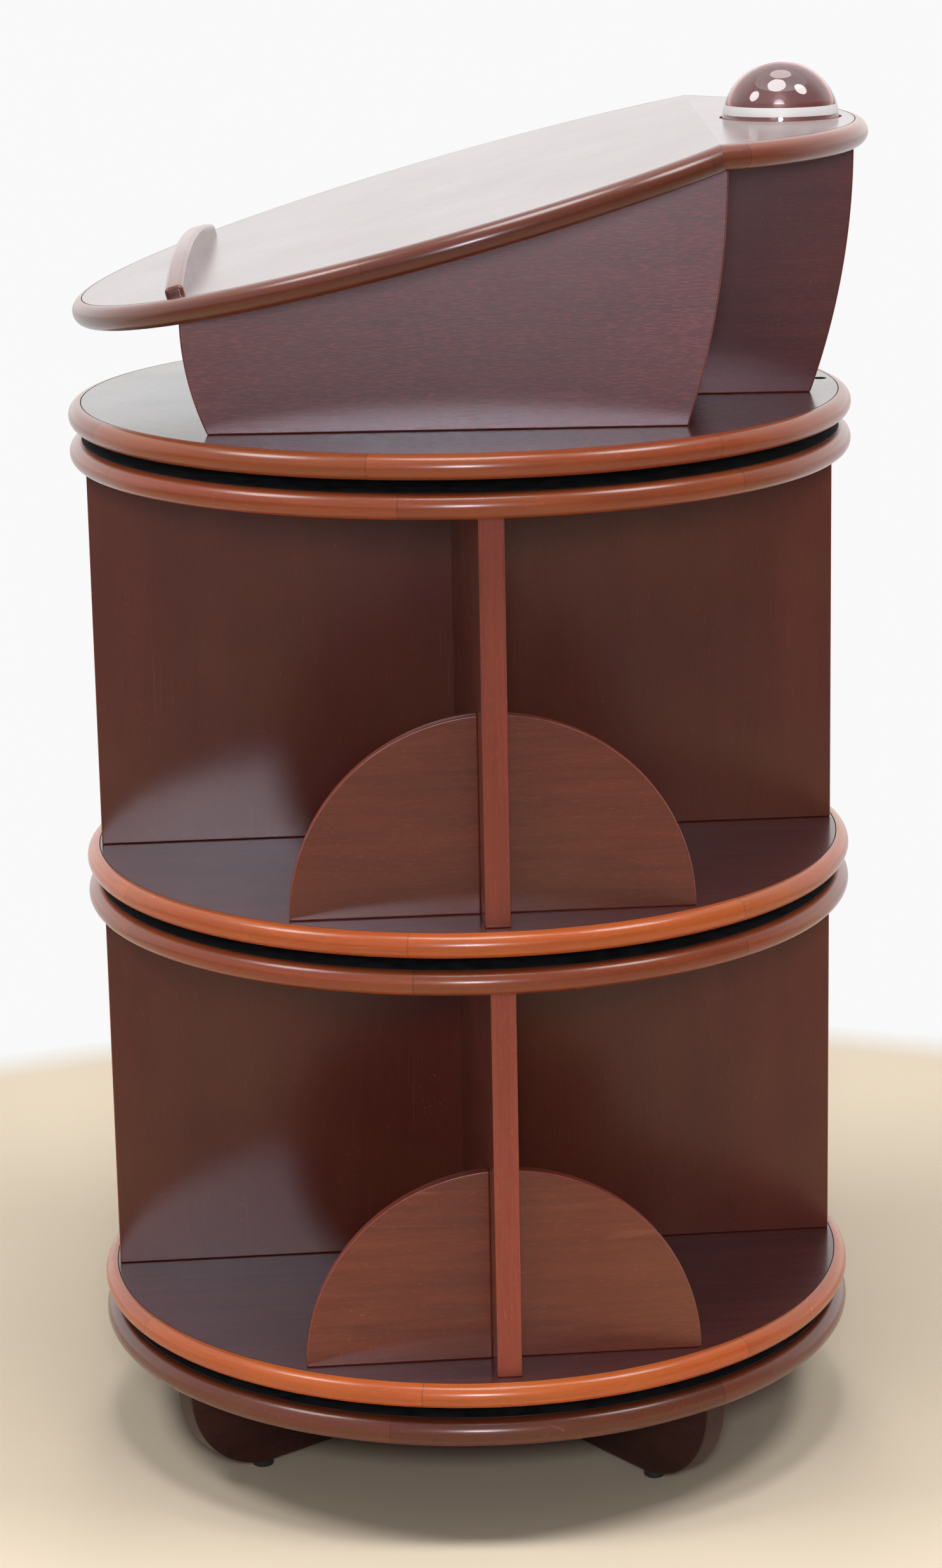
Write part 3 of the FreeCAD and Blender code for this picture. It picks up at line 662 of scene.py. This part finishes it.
def lipped_disc(radius, thickness, sizes, gap_shade_side=0):
    """A veneered round board with a half-round lip, from zero up, with a fine dark seam at the lip.

    Its lower face takes the third finish too where gap_shade_side is -1, and its upper face where it is 1."""
    nose = thickness / 2
    flat = radius - nose
    seam = sizes.lip_seam_width
    support = flat - nose / 2
    middle = flat / 2
    lip = arc_points((flat, nose), nose, -math.pi / 2, math.pi / 2, lip_steps)
    top = [(flat, thickness), (flat - seam / 2, thickness - sizes.lip_seam_depth),
           (flat - seam, thickness), (support, thickness), (middle, thickness), (0, thickness)]
    bm = spun([(0, 0), (middle, 0), (support, 0), (flat, 0)] + lip + top, disc_steps)
    for face in bm.faces:
        reach = face.calc_center_median().to_2d().length
        in_seam = face.normal.z > 0 and flat - seam < reach < flat
        # Lip seams and, on a disc's gap side, its level face take the black: a dark joint at the seam,
        # painted shade in the gap
        black = in_seam or gap_shade_side * face.normal.z > level_facing
        face.material_index = 1 if reach > flat else 2 if black else 0
    return bm


def plank(low, high, easing):
    """A board between two corners, with all its edges eased."""
    low, high = Vector(low), Vector(high)
    bm = bmesh.new()
    place = Matrix.Translation((low + high) / 2) @ Matrix.Diagonal((high - low).to_4d())
    bmesh.ops.create_cube(bm, size=1, matrix=place)
    ease_edges(bm, easing)
    return bm


def ease_edges(bm, radius, segments=3, chosen=None):
    """Rounds the sharp edges, or those of them that are chosen."""
    sharp = [edge for edge in bm.edges if edge.calc_face_angle(0) > easing_angle]
    if chosen:
        sharp = [edge for edge in sharp if chosen(edge)]
    bmesh.ops.bevel(bm, geom=sharp, offset=radius, offset_type="OFFSET", segments=segments,
                    profile=0.5, affect="EDGES", material=-1, clamp_overlap=True)


def traced_board(start, moves, thickness):
    """A board cut to an outline in the XZ plane, centred on Y.

    A move is a point to draw a straight line to, or the centre of an arc, its angle and its steps."""
    bm = bmesh.new()
    first = bm.verts.new((start[0], 0, start[1]))
    last = first
    for move in moves:
        if len(move) == 2:
            end = bm.verts.new((move[0], 0, move[1]))
            bm.edges.new((last, end))
            last = end
        else:
            centre, angle, steps = move
            swept = bmesh.ops.spin(bm, geom=[last], cent=(centre[0], 0, centre[1]), axis=(0, 1, 0),
                                   dvec=(0, 0, 0), angle=angle, steps=steps)
            last = next(item for item in swept["geom_last"] if isinstance(item, bmesh.types.BMVert))
    bm.edges.new((last, first))
    bmesh.ops.remove_doubles(bm, verts=bm.verts, dist=merge_distance)
    bmesh.ops.contextual_create(bm, geom=bm.edges[:])
    swept = bmesh.ops.extrude_face_region(bm, geom=bm.faces[:])
    pushed = [item for item in swept["geom"] if isinstance(item, bmesh.types.BMVert)]
    bmesh.ops.translate(bm, vec=(0, thickness, 0), verts=pushed)
    bmesh.ops.translate(bm, vec=(0, -thickness / 2, 0), verts=bm.verts)
    bmesh.ops.recalc_face_normals(bm, faces=bm.faces)
    return bm


def cut_away(bm, tool):
    """The first mesh less the second."""
    objects = []
    for name, source in (("Cut blank", bm), ("Cut tool", tool)):
        mesh = bpy.data.meshes.new(name)
        source.to_mesh(mesh)
        source.free()
        objects.append(bpy.data.objects.new(name, mesh))
        bpy.context.scene.collection.objects.link(objects[-1])
    blank, cutter = objects
    cut = blank.modifiers.new("Cut", "BOOLEAN")
    cut.operation = "DIFFERENCE"
    cut.solver = "EXACT"
    cut.object = cutter
    result = bmesh.new()
    result.from_object(blank, bpy.context.evaluated_depsgraph_get())
    for one in objects:
        mesh = one.data
        bpy.data.objects.remove(one)
        bpy.data.meshes.remove(mesh)
    return result


def cylinder(radius, low, high, place, steps):
    bm = spun([(0, low), (radius, low), (radius, high), (0, high)], steps)
    bmesh.ops.translate(bm, vec=(place[0], place[1], 0), verts=bm.verts)
    return bm


def mark_ends(bm, along):
    """Gives the faces that look along an axis, and the eased edges beside them, the second finish."""
    for face in bm.faces:
        face.material_index = 1 if abs(face.normal[along]) > end_facing else 0


def mark_outline(bm):
    """Gives all but the two broad faces of a traced board the second finish."""
    for face in bm.faces:
        face.material_index = 0 if abs(face.normal.y) > broad_facing else 1


grain_orders = {"x": (0, 1, 2), "z": (2, 0, 1)}


def store_grain(bm, along):
    """Keeps each point's place in the board itself, with the grain first, for the wood patterns.

    A shift along the last axis gives each piece its own part of the pattern."""
    layer = bm.verts.layers.float_vector.new("grain")
    shift = Vector((0, 0, 1.0 + 2.0 * len(bpy.data.objects)))
    for vert in bm.verts:
        vert[layer] = Vector([vert.co[axis] for axis in grain_orders[along]]) + shift


def add_piece(bm, node_name, body, finishes, place, along="x"):
    """A finished object from a mesh, put in its place, riding on its body instead of its CAD node."""
    store_grain(bm, along)
    bmesh.ops.transform(bm, matrix=place, verts=bm.verts)
    name = node_name + "_finished"
    mesh = bpy.data.meshes.new(name)
    bm.to_mesh(mesh)
    bm.free()
    for finish in finishes:
        mesh.materials.append(finish)
    mesh.shade_smooth()
    mesh.set_sharp_from_angle(angle=sharp_angle)
    piece = bpy.data.objects.new(name, mesh)
    bpy.context.scene.collection.objects.link(piece)
    weighted = piece.modifiers.new("Weighted normals", "WEIGHTED_NORMAL")
    weighted.keep_sharp = True
    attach(piece, body)
    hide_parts(node_name)


def turned(angle):
    return Matrix.Rotation(angle, 4, "Z")


def raised(height):
    return Matrix.Translation((0, 0, height))


def sizes_and_colours(context):
    return context.scene.tower_sizes, context.scene.tower_colours


def tiers(sizes):
    """Each tier's name and its turn at rest."""
    return ("lower", sizes.lower_turn), ("upper", sizes.upper_turn)


# Pieces


class TOWER_OT_discs(bpy.types.Operator):
    """Build the six veneered discs with their round lips"""

    bl_idname = "tower.build_discs"
    bl_label = "Build Discs"

    def execute(self, context):
        sizes, colours = sizes_and_colours(context)
        # Brighter and deeper copies of the lip wood: partly own tone, partly painted light on the open tier
        # floors' lips and painted shade on the lips under a disc or the panels
        bright = round_lip_finish("Bright round lip", colours.lip)
        deep = round_lip_finish("Deep round lip", colours.deep_lip)
        base = round_lip_finish("Base round lip", colours.base_lip)
        # The last value is the side of each disc that faces a gap, which takes black as painted shade
        discs = (
            ("base_disc", "base", 0.0, base, 1),
            ("lower_floor_disc", "lower_tier", sizes.lower_turn, bright, -1),
            ("lower_top_disc", "lower_tier", sizes.lower_turn, deep, 1),
            ("upper_floor_disc", "upper_tier", sizes.upper_turn, bright, -1),
            ("upper_top_disc", "upper_tier", sizes.upper_turn, deep, 1),
            ("lectern_disc", "lectern", 0.0, deep, -1),
        )
        for name, body, turn, lip, gap_shade_side in discs:
            finishes = [veneer_finish(colours), lip, seam_and_gap_shade_finish(colours)]
            low, high = height_range(name)
            bm = lipped_disc(disc_radius, high - low, sizes, gap_shade_side)
            if name == "lectern_disc":
                reach, angle = sizes.rim_hole_reach, sizes.rim_hole_angle
                middle = (reach * math.cos(angle), reach * math.sin(angle))
                thickness = high - low
                tool = cylinder(sizes.rim_hole_radius, -thickness, 2 * thickness, middle, hole_steps)
                bm = cut_away(bm, tool)
            add_piece(bm, name, body, finishes, raised(low) @ turned(turn))
        return {"FINISHED"}


class TOWER_OT_feet(bpy.types.Operator):
    """Build the two halved foot boards with their quarter-round ends"""

    bl_idname = "tower.build_feet"
    bl_label = "Build Feet"

    def execute(self, context):
        sizes, colours = sizes_and_colours(context)
        low, high = height_range("left_foot_board")
        height = high - low
        clearance = 0.1 * sizes.board_easing
        half_notch = sizes.board_thickness / 2 + clearance
        middle = height / 2
        flat = sizes.foot_reach - height
        notched_top = [(half_notch, height), (half_notch, middle),
                       (-half_notch, middle), (-half_notch, height)]
        notched_bottom = [(-half_notch, 0), (-half_notch, middle), (half_notch, middle), (half_notch, 0)]
        for name, turn, over in (("left_foot_board", sizes.foot_turn, True),
                                 ("right_foot_board", sizes.foot_turn - math.pi / 2, False)):
            moves = [((-flat, height), -math.pi / 2, end_steps)]
            moves += [] if over else notched_bottom
            moves += [(flat, 0), ((flat, height), -math.pi / 2, end_steps)]
            moves += notched_top if over else []
            bm = traced_board((-sizes.foot_reach, height), moves, sizes.board_thickness)
            ease_edges(bm, sizes.board_easing)
            mark_outline(bm)
            # Painted shade: the foot colour and its darker edge copy stand in for the shade under the base
            # disc
            wood = foot_finish("Foot wood", colours.foot, figure_length=0.2, figure_width=0.01)
            edge = foot_finish("Foot edge", shaded(colours.foot, foot_edge_painted_shade), figure_length=0.1,
                               figure_width=0.004)
            add_piece(bm, name, "base", [wood, edge], turned(turn) @ raised(low))
        return {"FINISHED"}


class TOWER_OT_tier_boards(bpy.types.Operator):
    """Build the cross boards and the partitions of both tiers"""

    bl_idname = "tower.build_tier_boards"
    bl_label = "Build Tier Boards"

    def execute(self, context):
        sizes, colours = sizes_and_colours(context)
        half = sizes.board_thickness / 2
        for tier, turn in tiers(sizes):
            body = tier + "_tier"
            edge = board_edge_finish(colours, tier.title() + " tier lipping", lipping_tones[tier])
            finishes = [inner_board_finish(colours), edge]
            low, high = height_range(tier + "_cross_board")
            bm = plank((-sizes.cross_reach, -half, low), (sizes.cross_reach, half, high), sizes.board_easing)
            mark_ends(bm, 0)
            add_piece(bm, tier + "_cross_board", body, finishes, turned(turn), "z")
            for name, near, far in (("front", -sizes.partition_reach, -half),
                                    ("rear", half, sizes.partition_reach)):
                bm = plank((-half, near, low), (half, far, high), sizes.board_easing)
                mark_ends(bm, 1)
                add_piece(bm, f"{tier}_{name}_partition", body, finishes, turned(turn), "z")
        return {"FINISHED"}


class TOWER_OT_bookends(bpy.types.Operator):
    """Build the eight quarter-round bookends"""

    bl_idname = "tower.build_bookends"
    bl_label = "Build Bookends"

    def execute(self, context):
        sizes, colours = sizes_and_colours(context)
        inner = sizes.board_thickness / 2
        radius = sizes.bookend_radius
        sweep = math.acos(inner / radius)
        middle = sizes.bookend_reach - sizes.bookend_thickness / 2
        for tier, turn in tiers(sizes):
            wood = bookend_finish(colours, tier.title() + " bookend wood", bookend_tones[tier])
            finishes = [wood, board_edge_finish(colours)]
            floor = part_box(tier + "_floor_disc")[1].z
            for side, side_name in ((-1, "front"), (1, "rear")):
                for hand, hand_name in ((-1, "left"), (1, "right")):
                    moves = [((0, 0), -hand * sweep, bookend_steps), (hand * inner, 0)]
                    bm = traced_board((hand * radius, 0), moves, sizes.bookend_thickness)
                    ease_edges(bm, sizes.board_easing)
                    mark_outline(bm)
                    place = turned(turn) @ Matrix.Translation((0, side * middle, floor))
                    name = f"{tier}_{side_name}_{hand_name}_bookend"
                    add_piece(bm, name, tier + "_tier", finishes, place)
        return {"FINISHED"}


class TOWER_OT_lectern_boards(bpy.types.Operator):
    """Build the lectern's side boards and rear fins"""

    bl_idname = "tower.build_lectern_boards"
    bl_label = "Build Lectern Boards"

    def execute(self, context):
        sizes, colours = sizes_and_colours(context)
        thickness = sizes.board_thickness
        crease_under = crease_x + thickness * math.tan(sizes.slope_angle / 2)
        flat_height = panel_top - thickness - lectern_floor

        def under_panel(x):
            return flat_height - max(0, crease_under - x) * math.tan(sizes.slope_angle)

        def end_arc(x, undercut, outward):
            """Centre and angle of an end's arc, which is upright at the panel and curves in to its foot."""
            drop = under_panel(x)
            radius = (drop ** 2 + undercut ** 2) / (2 * undercut)
            return (x - outward * radius, drop), math.asin(drop / radius)

        for name in ("near_side_board", "far_side_board", "near_rear_fin", "far_rear_fin"):
            low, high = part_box(name)
            fin = name.endswith("fin")
            rear_undercut = sizes.fin_undercut if fin else sizes.side_rear_undercut
            rear_centre, rear_angle = end_arc(high.x, rear_undercut, 1)
            moves = [(crease_under, flat_height), (high.x, flat_height), (rear_centre, rear_angle, end_steps)]
            if fin:
                moves.append((low.x, 0))
            else:
                foot = low.x + sizes.side_front_undercut
                front_centre, front_angle = end_arc(low.x, sizes.side_front_undercut, -1)
                moves += [(foot, 0), (front_centre, front_angle, end_steps)]
            bm = traced_board((low.x, under_panel(low.x)), moves, thickness)
            ease_edges(bm, sizes.board_easing)
            mark_outline(bm)
            face_finish = fin_finish(colours) if fin else side_board_finish(colours)
            finishes = [face_finish, board_edge_finish(colours)]
            place = Matrix.Translation((0, (low.y + high.y) / 2, lectern_floor))
            add_piece(bm, name, "lectern", finishes, place)
        return {"FINISHED"}


class TOWER_OT_panels(bpy.types.Operator):
    """Build the sloped and the flat panel, mitred together, with the dome's recess"""

    bl_idname = "tower.build_panels"
    bl_label = "Build Panels"

    def execute(self, context):
        sizes, colours = sizes_and_colours(context)
        veneer, black_face = veneer_finish(colours), seam_and_gap_shade_finish(colours)
        slope_lip = round_lip_finish("Panel round lip", colours.panel_lip)
        flat_lip = round_lip_finish("Flat panel round lip", shaded(colours.panel_lip, flat_lip_tone))
        recess_floor = recess_finish("Recess floor wood", colours.recess)
        # Painted shade: the recess wall is the recess wood darkened
        recess_wall = recess_finish("Recess wall wood", shaded(colours.recess, recess_wall_painted_shade))
        slope_finishes = [veneer, slope_lip, black_face]
        flat_finishes = [veneer, flat_lip, black_face, recess_floor, recess_wall]
        thickness = sizes.board_thickness
        half_angle = sizes.slope_angle / 2
        offset = (crease_x + sizes.slope_shift) / math.cos(sizes.slope_angle)
        half_crease = math.sqrt(panel_radius ** 2 - offset ** 2)
        flat_reach = panel_rear - crease_x
        flat_radius = (half_crease ** 2 + flat_reach ** 2) / (2 * flat_reach)

        slope = lipped_disc(panel_radius, thickness, sizes)
        self.mitre(slope, (offset, 0, thickness), (math.cos(half_angle), 0, -math.sin(half_angle)), True)
        screw_reach = offset - sizes.ledge_distance - sizes.ledge_thickness / 2
        for share in sizes.ledge_screw_shares:
            spot = (screw_reach, share * ledge_half_length)
            tool = cylinder(sizes.sinking_radius, -thickness, sizes.sinking_depth, spot, hole_steps)
            slope = cut_away(slope, tool)
        place = Matrix.Translation((crease_x, 0, panel_top))
        place @= Matrix.Rotation(-sizes.slope_angle, 4, "Y")
        place @= Matrix.Translation((-offset, 0, -thickness))
        add_piece(slope, "slope_panel", "lectern", slope_finishes, place)

        flat = lipped_disc(flat_radius, thickness, sizes)
        crease = flat_radius - flat_reach
        self.mitre(flat, (crease, 0, thickness), (math.cos(half_angle), 0, math.sin(half_angle)), False)
        centre = panel_rear - flat_radius
        dome_x = (dome_low.x + dome_high.x) / 2
        dome_radius = (dome_high.x - dome_low.x) / 2
        depth = panel_top - dome_low.z
        tool = cylinder(dome_radius + sizes.recess_clearance, thickness - depth, 2 * thickness,
                        (dome_x - centre, 0), recess_steps)
        for face in tool.faces:
            level = abs(face.normal.z) > level_facing
            face.material_index = flat_finishes.index(recess_floor if level else recess_wall)
        flat = cut_away(flat, tool)
        place = Matrix.Translation((centre, 0, panel_top - thickness))
        add_piece(flat, "flat_panel", "lectern", flat_finishes, place)
        return {"FINISHED"}

    def mitre(self, bm, point, normal, keep_behind):
        """Cuts a panel at the mitred joint and closes the cut."""
        geom = bm.verts[:] + bm.edges[:] + bm.faces[:]
        bmesh.ops.bisect_plane(bm, geom=geom, dist=merge_distance, plane_co=point, plane_no=normal,
                               clear_outer=keep_behind, clear_inner=not keep_behind)
        bmesh.ops.edgeloop_fill(bm, edges=[edge for edge in bm.edges if edge.is_boundary])
        bmesh.ops.recalc_face_normals(bm, faces=bm.faces)


class TOWER_OT_ledge(bpy.types.Operator):
    """Build the arched book ledge across the slope"""

    bl_idname = "tower.build_ledge"
    bl_label = "Build Ledge"

    def execute(self, context):
        sizes, colours = sizes_and_colours(context)
        half, end, crown = ledge_half_length, sizes.ledge_end_height, sizes.ledge_crown_height
        rise = crown - end
        radius = (half ** 2 + rise ** 2) / (2 * rise)
        angle = 2 * math.asin(half / radius)
        moves = [(-half, end), ((0, crown - radius), angle, arch_steps), (half, 0)]
        bm = traced_board((-half, 0), moves, sizes.ledge_thickness)
        ease_edges(bm, sizes.ledge_easing, 5, lambda edge: max(vert.co.z for vert in edge.verts) > end / 2)
        reach = sizes.ledge_distance + sizes.ledge_thickness / 2
        place = Matrix.Translation((crease_x, 0, panel_top)) @ Matrix.Rotation(-sizes.slope_angle, 4, "Y")
        place @= Matrix.Translation((-reach, 0, 0)) @ turned(math.pi / 2)
        add_piece(bm, "book_ledge", "lectern", [ledge_finish(colours)], place)
        return {"FINISHED"}


class TOWER_OT_dome(bpy.types.Operator):
    """Build the clear dome magnifier"""

    bl_idname = "tower.build_dome"
    bl_label = "Build Dome"

    def execute(self, context):
        sizes, colours = sizes_and_colours(context)
        radius = (dome_high.x - dome_low.x) / 2
        height = dome_high.z - dome_low.z
        collar = height - radius
        ease = collar / 5
        gap = collar / 20
        band_low = panel_top - dome_low.z + sizes.dome_band_rise
        band_high = band_low + sizes.dome_band_width
        band_angles = [math.asin((edge - collar) / radius) for edge in (band_low, band_high)]
        stops = [0, *band_angles, math.pi / 2]
        profile = [(0, gap), (radius - ease, gap), (radius, gap + ease), (radius, collar)]
        for start, end, count in zip(stops, stops[1:], dome_arc_steps):
            profile += arc_points((0, collar), radius, start, end, count)
            profile.append((radius * math.cos(end), collar + radius * math.sin(end)))
        profile[-1] = (0, height)
        bm = spun(profile, dome_steps)
        for face in bm.faces:
            face.material_index = 1 if band_low < face.calc_center_median().z < band_high else 0
        middle = ((dome_low.x + dome_high.x) / 2, (dome_low.y + dome_high.y) / 2, dome_low.z)
        # Partly painted light: a ground band made opaque and pale to give the bright band at the dome's foot
        band = worked_metal("Satin glass band", colours.satin, roughness=0.45, metallic=0.0)
        finishes = [clear_glass("Clear dome", colours.glass), band]
        add_piece(bm, "dome_magnifier", "dome", finishes, Matrix.Translation(middle))
        return {"FINISHED"}


class TOWER_OT_hardware(bpy.types.Operator):
    """Finish the bearings, screws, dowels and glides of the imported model"""

    bl_idname = "tower.finish_hardware"
    bl_label = "Finish Hardware"

    def execute(self, context):
        colours = context.scene.tower_colours
        finishes = (
            ("_ring", worked_metal("Blackened steel", colours.black_steel, roughness=0.4)),
            ("_cage", worked_metal("Pressed steel", shaded(colours.steel, cage_tone), roughness=0.35)),
            ("_balls", worked_metal("Polished steel", colours.steel, roughness=0.1)),
            ("screws", worked_metal("Zinc plated steel", shaded(colours.steel, screw_tone), roughness=0.28)),
            ("_dowels", bare_wood("Bare dowel wood", colours.dowel)),
            ("glides", worked_metal("Matt plastic", colours.plastic, roughness=0.5, metallic=0.0)),
        )
        for ending, finish in finishes:
            named = [part for name, part in frame["nodes"].items() if name.endswith(ending)]
            if not named:
                raise RuntimeError("No packed node has a name that ends in " + ending)
            for part in named:
                for place in part.material_slots:
                    place.material = finish
        return {"FINISHED"}


# Stage


class TOWER_OT_stage(bpy.types.Operator):
    """Set the pale floor, the soft lamps, the white surroundings and the camera"""

    bl_idname = "tower.set_stage"
    bl_label = "Set Stage"

    def execute(self, context):
        scene = context.scene
        stage = scene.tower_stage
        self.floor(scene, stage)
        self.surroundings(scene, stage)
        self.lamps(scene, stage)
        self.camera(scene, stage)
        scene.view_settings.view_transform = "Standard"
        return {"FINISHED"}

    def floor(self, scene, stage):
        """A warm round floor that fades to white, with a white wall behind in reflections."""
        half_size = 30.0
        bm = bmesh.new()
        bmesh.ops.create_grid(bm, x_segments=1, y_segments=1, size=half_size)
        mesh = bpy.data.meshes.new("Studio floor")
        bm.to_mesh(mesh)
        bm.free()
        material, tree = new_material("Pale floor")
        place = object_place(tree)
        paths = node(tree, "ShaderNodeLightPath").outputs
        parts = node(tree, "ShaderNodeSeparateXYZ", {0: place}).outputs
        ends = {0: place, 1: (0, stage.floor_shift, 0)}
        away = node(tree, "ShaderNodeVectorMath", ends, operation="DISTANCE").outputs["Value"]
        fade = stage.floor_fade
        outside = ranged(tree, away, stage.floor_radius - fade, stage.floor_radius + fade)
        seen = calculated(tree, "MULTIPLY", outside, paths["Is Camera Ray"])
        reflected = calculated(tree, "MAXIMUM", paths["Is Glossy Ray"], paths["Is Transmission Ray"])
        behind = ranged(tree, parts["Y"], stage.wall_distance - fade, stage.wall_distance + fade)
        mirrored = calculated(tree, "MULTIPLY", behind, reflected)
        share = calculated(tree, "MAXIMUM", seen, mirrored)
        cloud = noise(tree, place, scale=3.0, detail=3.0)
        colour = mixed(tree, cloud, shaded(stage.floor_colour, 0.96), shaded(stage.floor_colour, 1.04))
        matt = node(tree, "ShaderNodeBsdfDiffuse", {"Color": colour})
        white = node(tree, "ShaderNodeEmission", {"Color": (1, 1, 1, 1), "Strength": stage.background})
        both = node(tree, "ShaderNodeMixShader", {0: share, 1: matt.outputs[0], 2: white.outputs[0]})
        node(tree, "ShaderNodeOutputMaterial", {"Surface": both.outputs[0]})
        mesh.materials.append(material)
        floor = bpy.data.objects.new("Studio floor", mesh)
        scene.collection.objects.link(floor)

    def surroundings(self, scene, stage):
        """A white background, and cool room light that reflections see brightest behind and to the left."""
        world = bpy.data.worlds.new("White room")
        world.use_nodes = True
        tree = world.node_tree
        tree.nodes.clear()
        paths = node(tree, "ShaderNodeLightPath").outputs
        direction = node(tree, "ShaderNodeTexCoord").outputs["Generated"]
        parts = node(tree, "ShaderNodeSeparateXYZ", {0: direction}).outputs
        side_reach, wall_reach, right_glow = 0.7, 0.4, 0.35
        right = ranged(tree, parts["X"], -side_reach, side_reach)
        side_glow = ranged(tree, right, 0.0, 1.0, 1.0, right_glow)
        wall = ranged(tree, parts["Y"], 0.0, wall_reach)
        reflected = between(tree, wall, side_glow, stage.wall_glow)
        lighting = between(tree, paths["Is Glossy Ray"], stage.room_light, reflected)
        clear = calculated(tree, "MAXIMUM", paths["Is Camera Ray"], paths["Is Transmission Ray"])
        strength = between(tree, clear, lighting, stage.background)
        left_tint, right_tint = (0.88, 0.87, 1.0, 1), (1.0, 0.93, 0.91, 1)
        sides = mixed(tree, right, left_tint, right_tint)
        tinted = calculated(tree, "SUBTRACT", paths["Is Glossy Ray"], wall)
        colour = mixed(tree, tinted, (1, 1, 1, 1), sides)
        light = node(tree, "ShaderNodeBackground", {"Color": colour, "Strength": strength})
        node(tree, "ShaderNodeOutputWorld", {"Surface": light.outputs[0]})
        scene.world = world

    def lamps(self, scene, stage):
        """Each lamp has its direction from the front and its rise in degrees, its distance, size and power.

        The last two values say whether it lights surfaces and whether they reflect it."""
        target = Vector((0, 0, 0.75))
        lamps = (
            ("Left lamp", -74, 50, 2.6, 0.8, stage.side_power, True, True),
            ("Right lamp", 70, 55, 2.6, 0.8, stage.side_power, True, True),
            ("Top lamp", 0, 78, 2.2, 1.0, stage.top_power, True, True),
            ("Back lamp", 180, 45, 2.8, 1.0, stage.back_power, True, False),
            ("Front lamp", 1, 13.6, 3.1, 0.4, stage.front_power, True, False),
            ("Camera flash", 0.5, 11.5, 3.1, 0.45, stage.flash_power, False, True),
        )
        for name, angle, rise, distance, size, power, lights, reflects in lamps:
            lamp = bpy.data.lights.new(name, "AREA")
            lamp.shape = "DISK"
            lamp.size = size
            lamp.energy = power
            if not lights:
                lamp.color = stage.flash_tint
            turn = turned(math.radians(angle)) @ Matrix.Rotation(math.radians(-rise), 4, "X")
            shift = turn @ Vector((0, -distance, 0))
            holder = bpy.data.objects.new(name, lamp)
            holder.location = target + shift
            holder.rotation_euler = (-shift).to_track_quat("-Z", "Y").to_euler()
            holder.visible_diffuse = lights
            holder.visible_glossy = reflects
            scene.collection.objects.link(holder)

    def camera(self, scene, stage):
        data = bpy.data.cameras.new("Studio camera")
        data.lens = stage.camera_lens
        data.sensor_width = 36.0
        camera = bpy.data.objects.new("Studio camera", data)
        place = Matrix.Translation((0, -stage.camera_distance, stage.camera_height))
        tilt = Matrix.Rotation(math.pi / 2 - stage.camera_pitch, 4, "X")
        camera.matrix_world = place @ (turned(-stage.camera_yaw) @ tilt @ turned(-stage.camera_roll))
        scene.collection.objects.link(camera)
        scene.camera = camera


operators = (
    TOWER_OT_discs, TOWER_OT_feet, TOWER_OT_tier_boards, TOWER_OT_bookends, TOWER_OT_lectern_boards,
    TOWER_OT_panels, TOWER_OT_ledge, TOWER_OT_dome, TOWER_OT_hardware, TOWER_OT_stage,
)


class TOWER_PT_sidebar(bpy.types.Panel):
    """Lists the tower's pieces, sizes and colours"""

    bl_idname = "TOWER_PT_sidebar"
    bl_label = "Media Tower"
    bl_space_type = "VIEW_3D"
    bl_region_type = "UI"
    bl_category = "Tower"

    def draw(self, context):
        for operator in operators:
            self.layout.operator(operator.bl_idname)
        for group in (context.scene.tower_sizes, context.scene.tower_colours, context.scene.tower_stage):
            column = self.layout.column()
            for name in group.__annotations__:
                column.prop(group, name)


groups = (("tower_sizes", TowerSizes), ("tower_colours", TowerColours), ("tower_stage", TowerStage))


def register():
    for name, group in groups:
        bpy.utils.register_class(group)
        setattr(bpy.types.Scene, name, bpy.props.PointerProperty(type=group))
    for one in operators + (TOWER_PT_sidebar,):
        bpy.utils.register_class(one)


def unregister():
    for one in reversed(operators + (TOWER_PT_sidebar,)):
        bpy.utils.unregister_class(one)
    for name, group in reversed(groups):
        delattr(bpy.types.Scene, name)
        bpy.utils.unregister_class(group)


def main():
    register()
    bpy.ops.tower.build_discs()
    bpy.ops.tower.build_feet()
    bpy.ops.tower.build_tier_boards()
    bpy.ops.tower.build_bookends()
    bpy.ops.tower.build_lectern_boards()
    bpy.ops.tower.build_panels()
    bpy.ops.tower.build_ledge()
    bpy.ops.tower.build_dome()
    bpy.ops.tower.finish_hardware()
    bpy.ops.tower.set_stage()


if __name__ == "__main__":
    main()
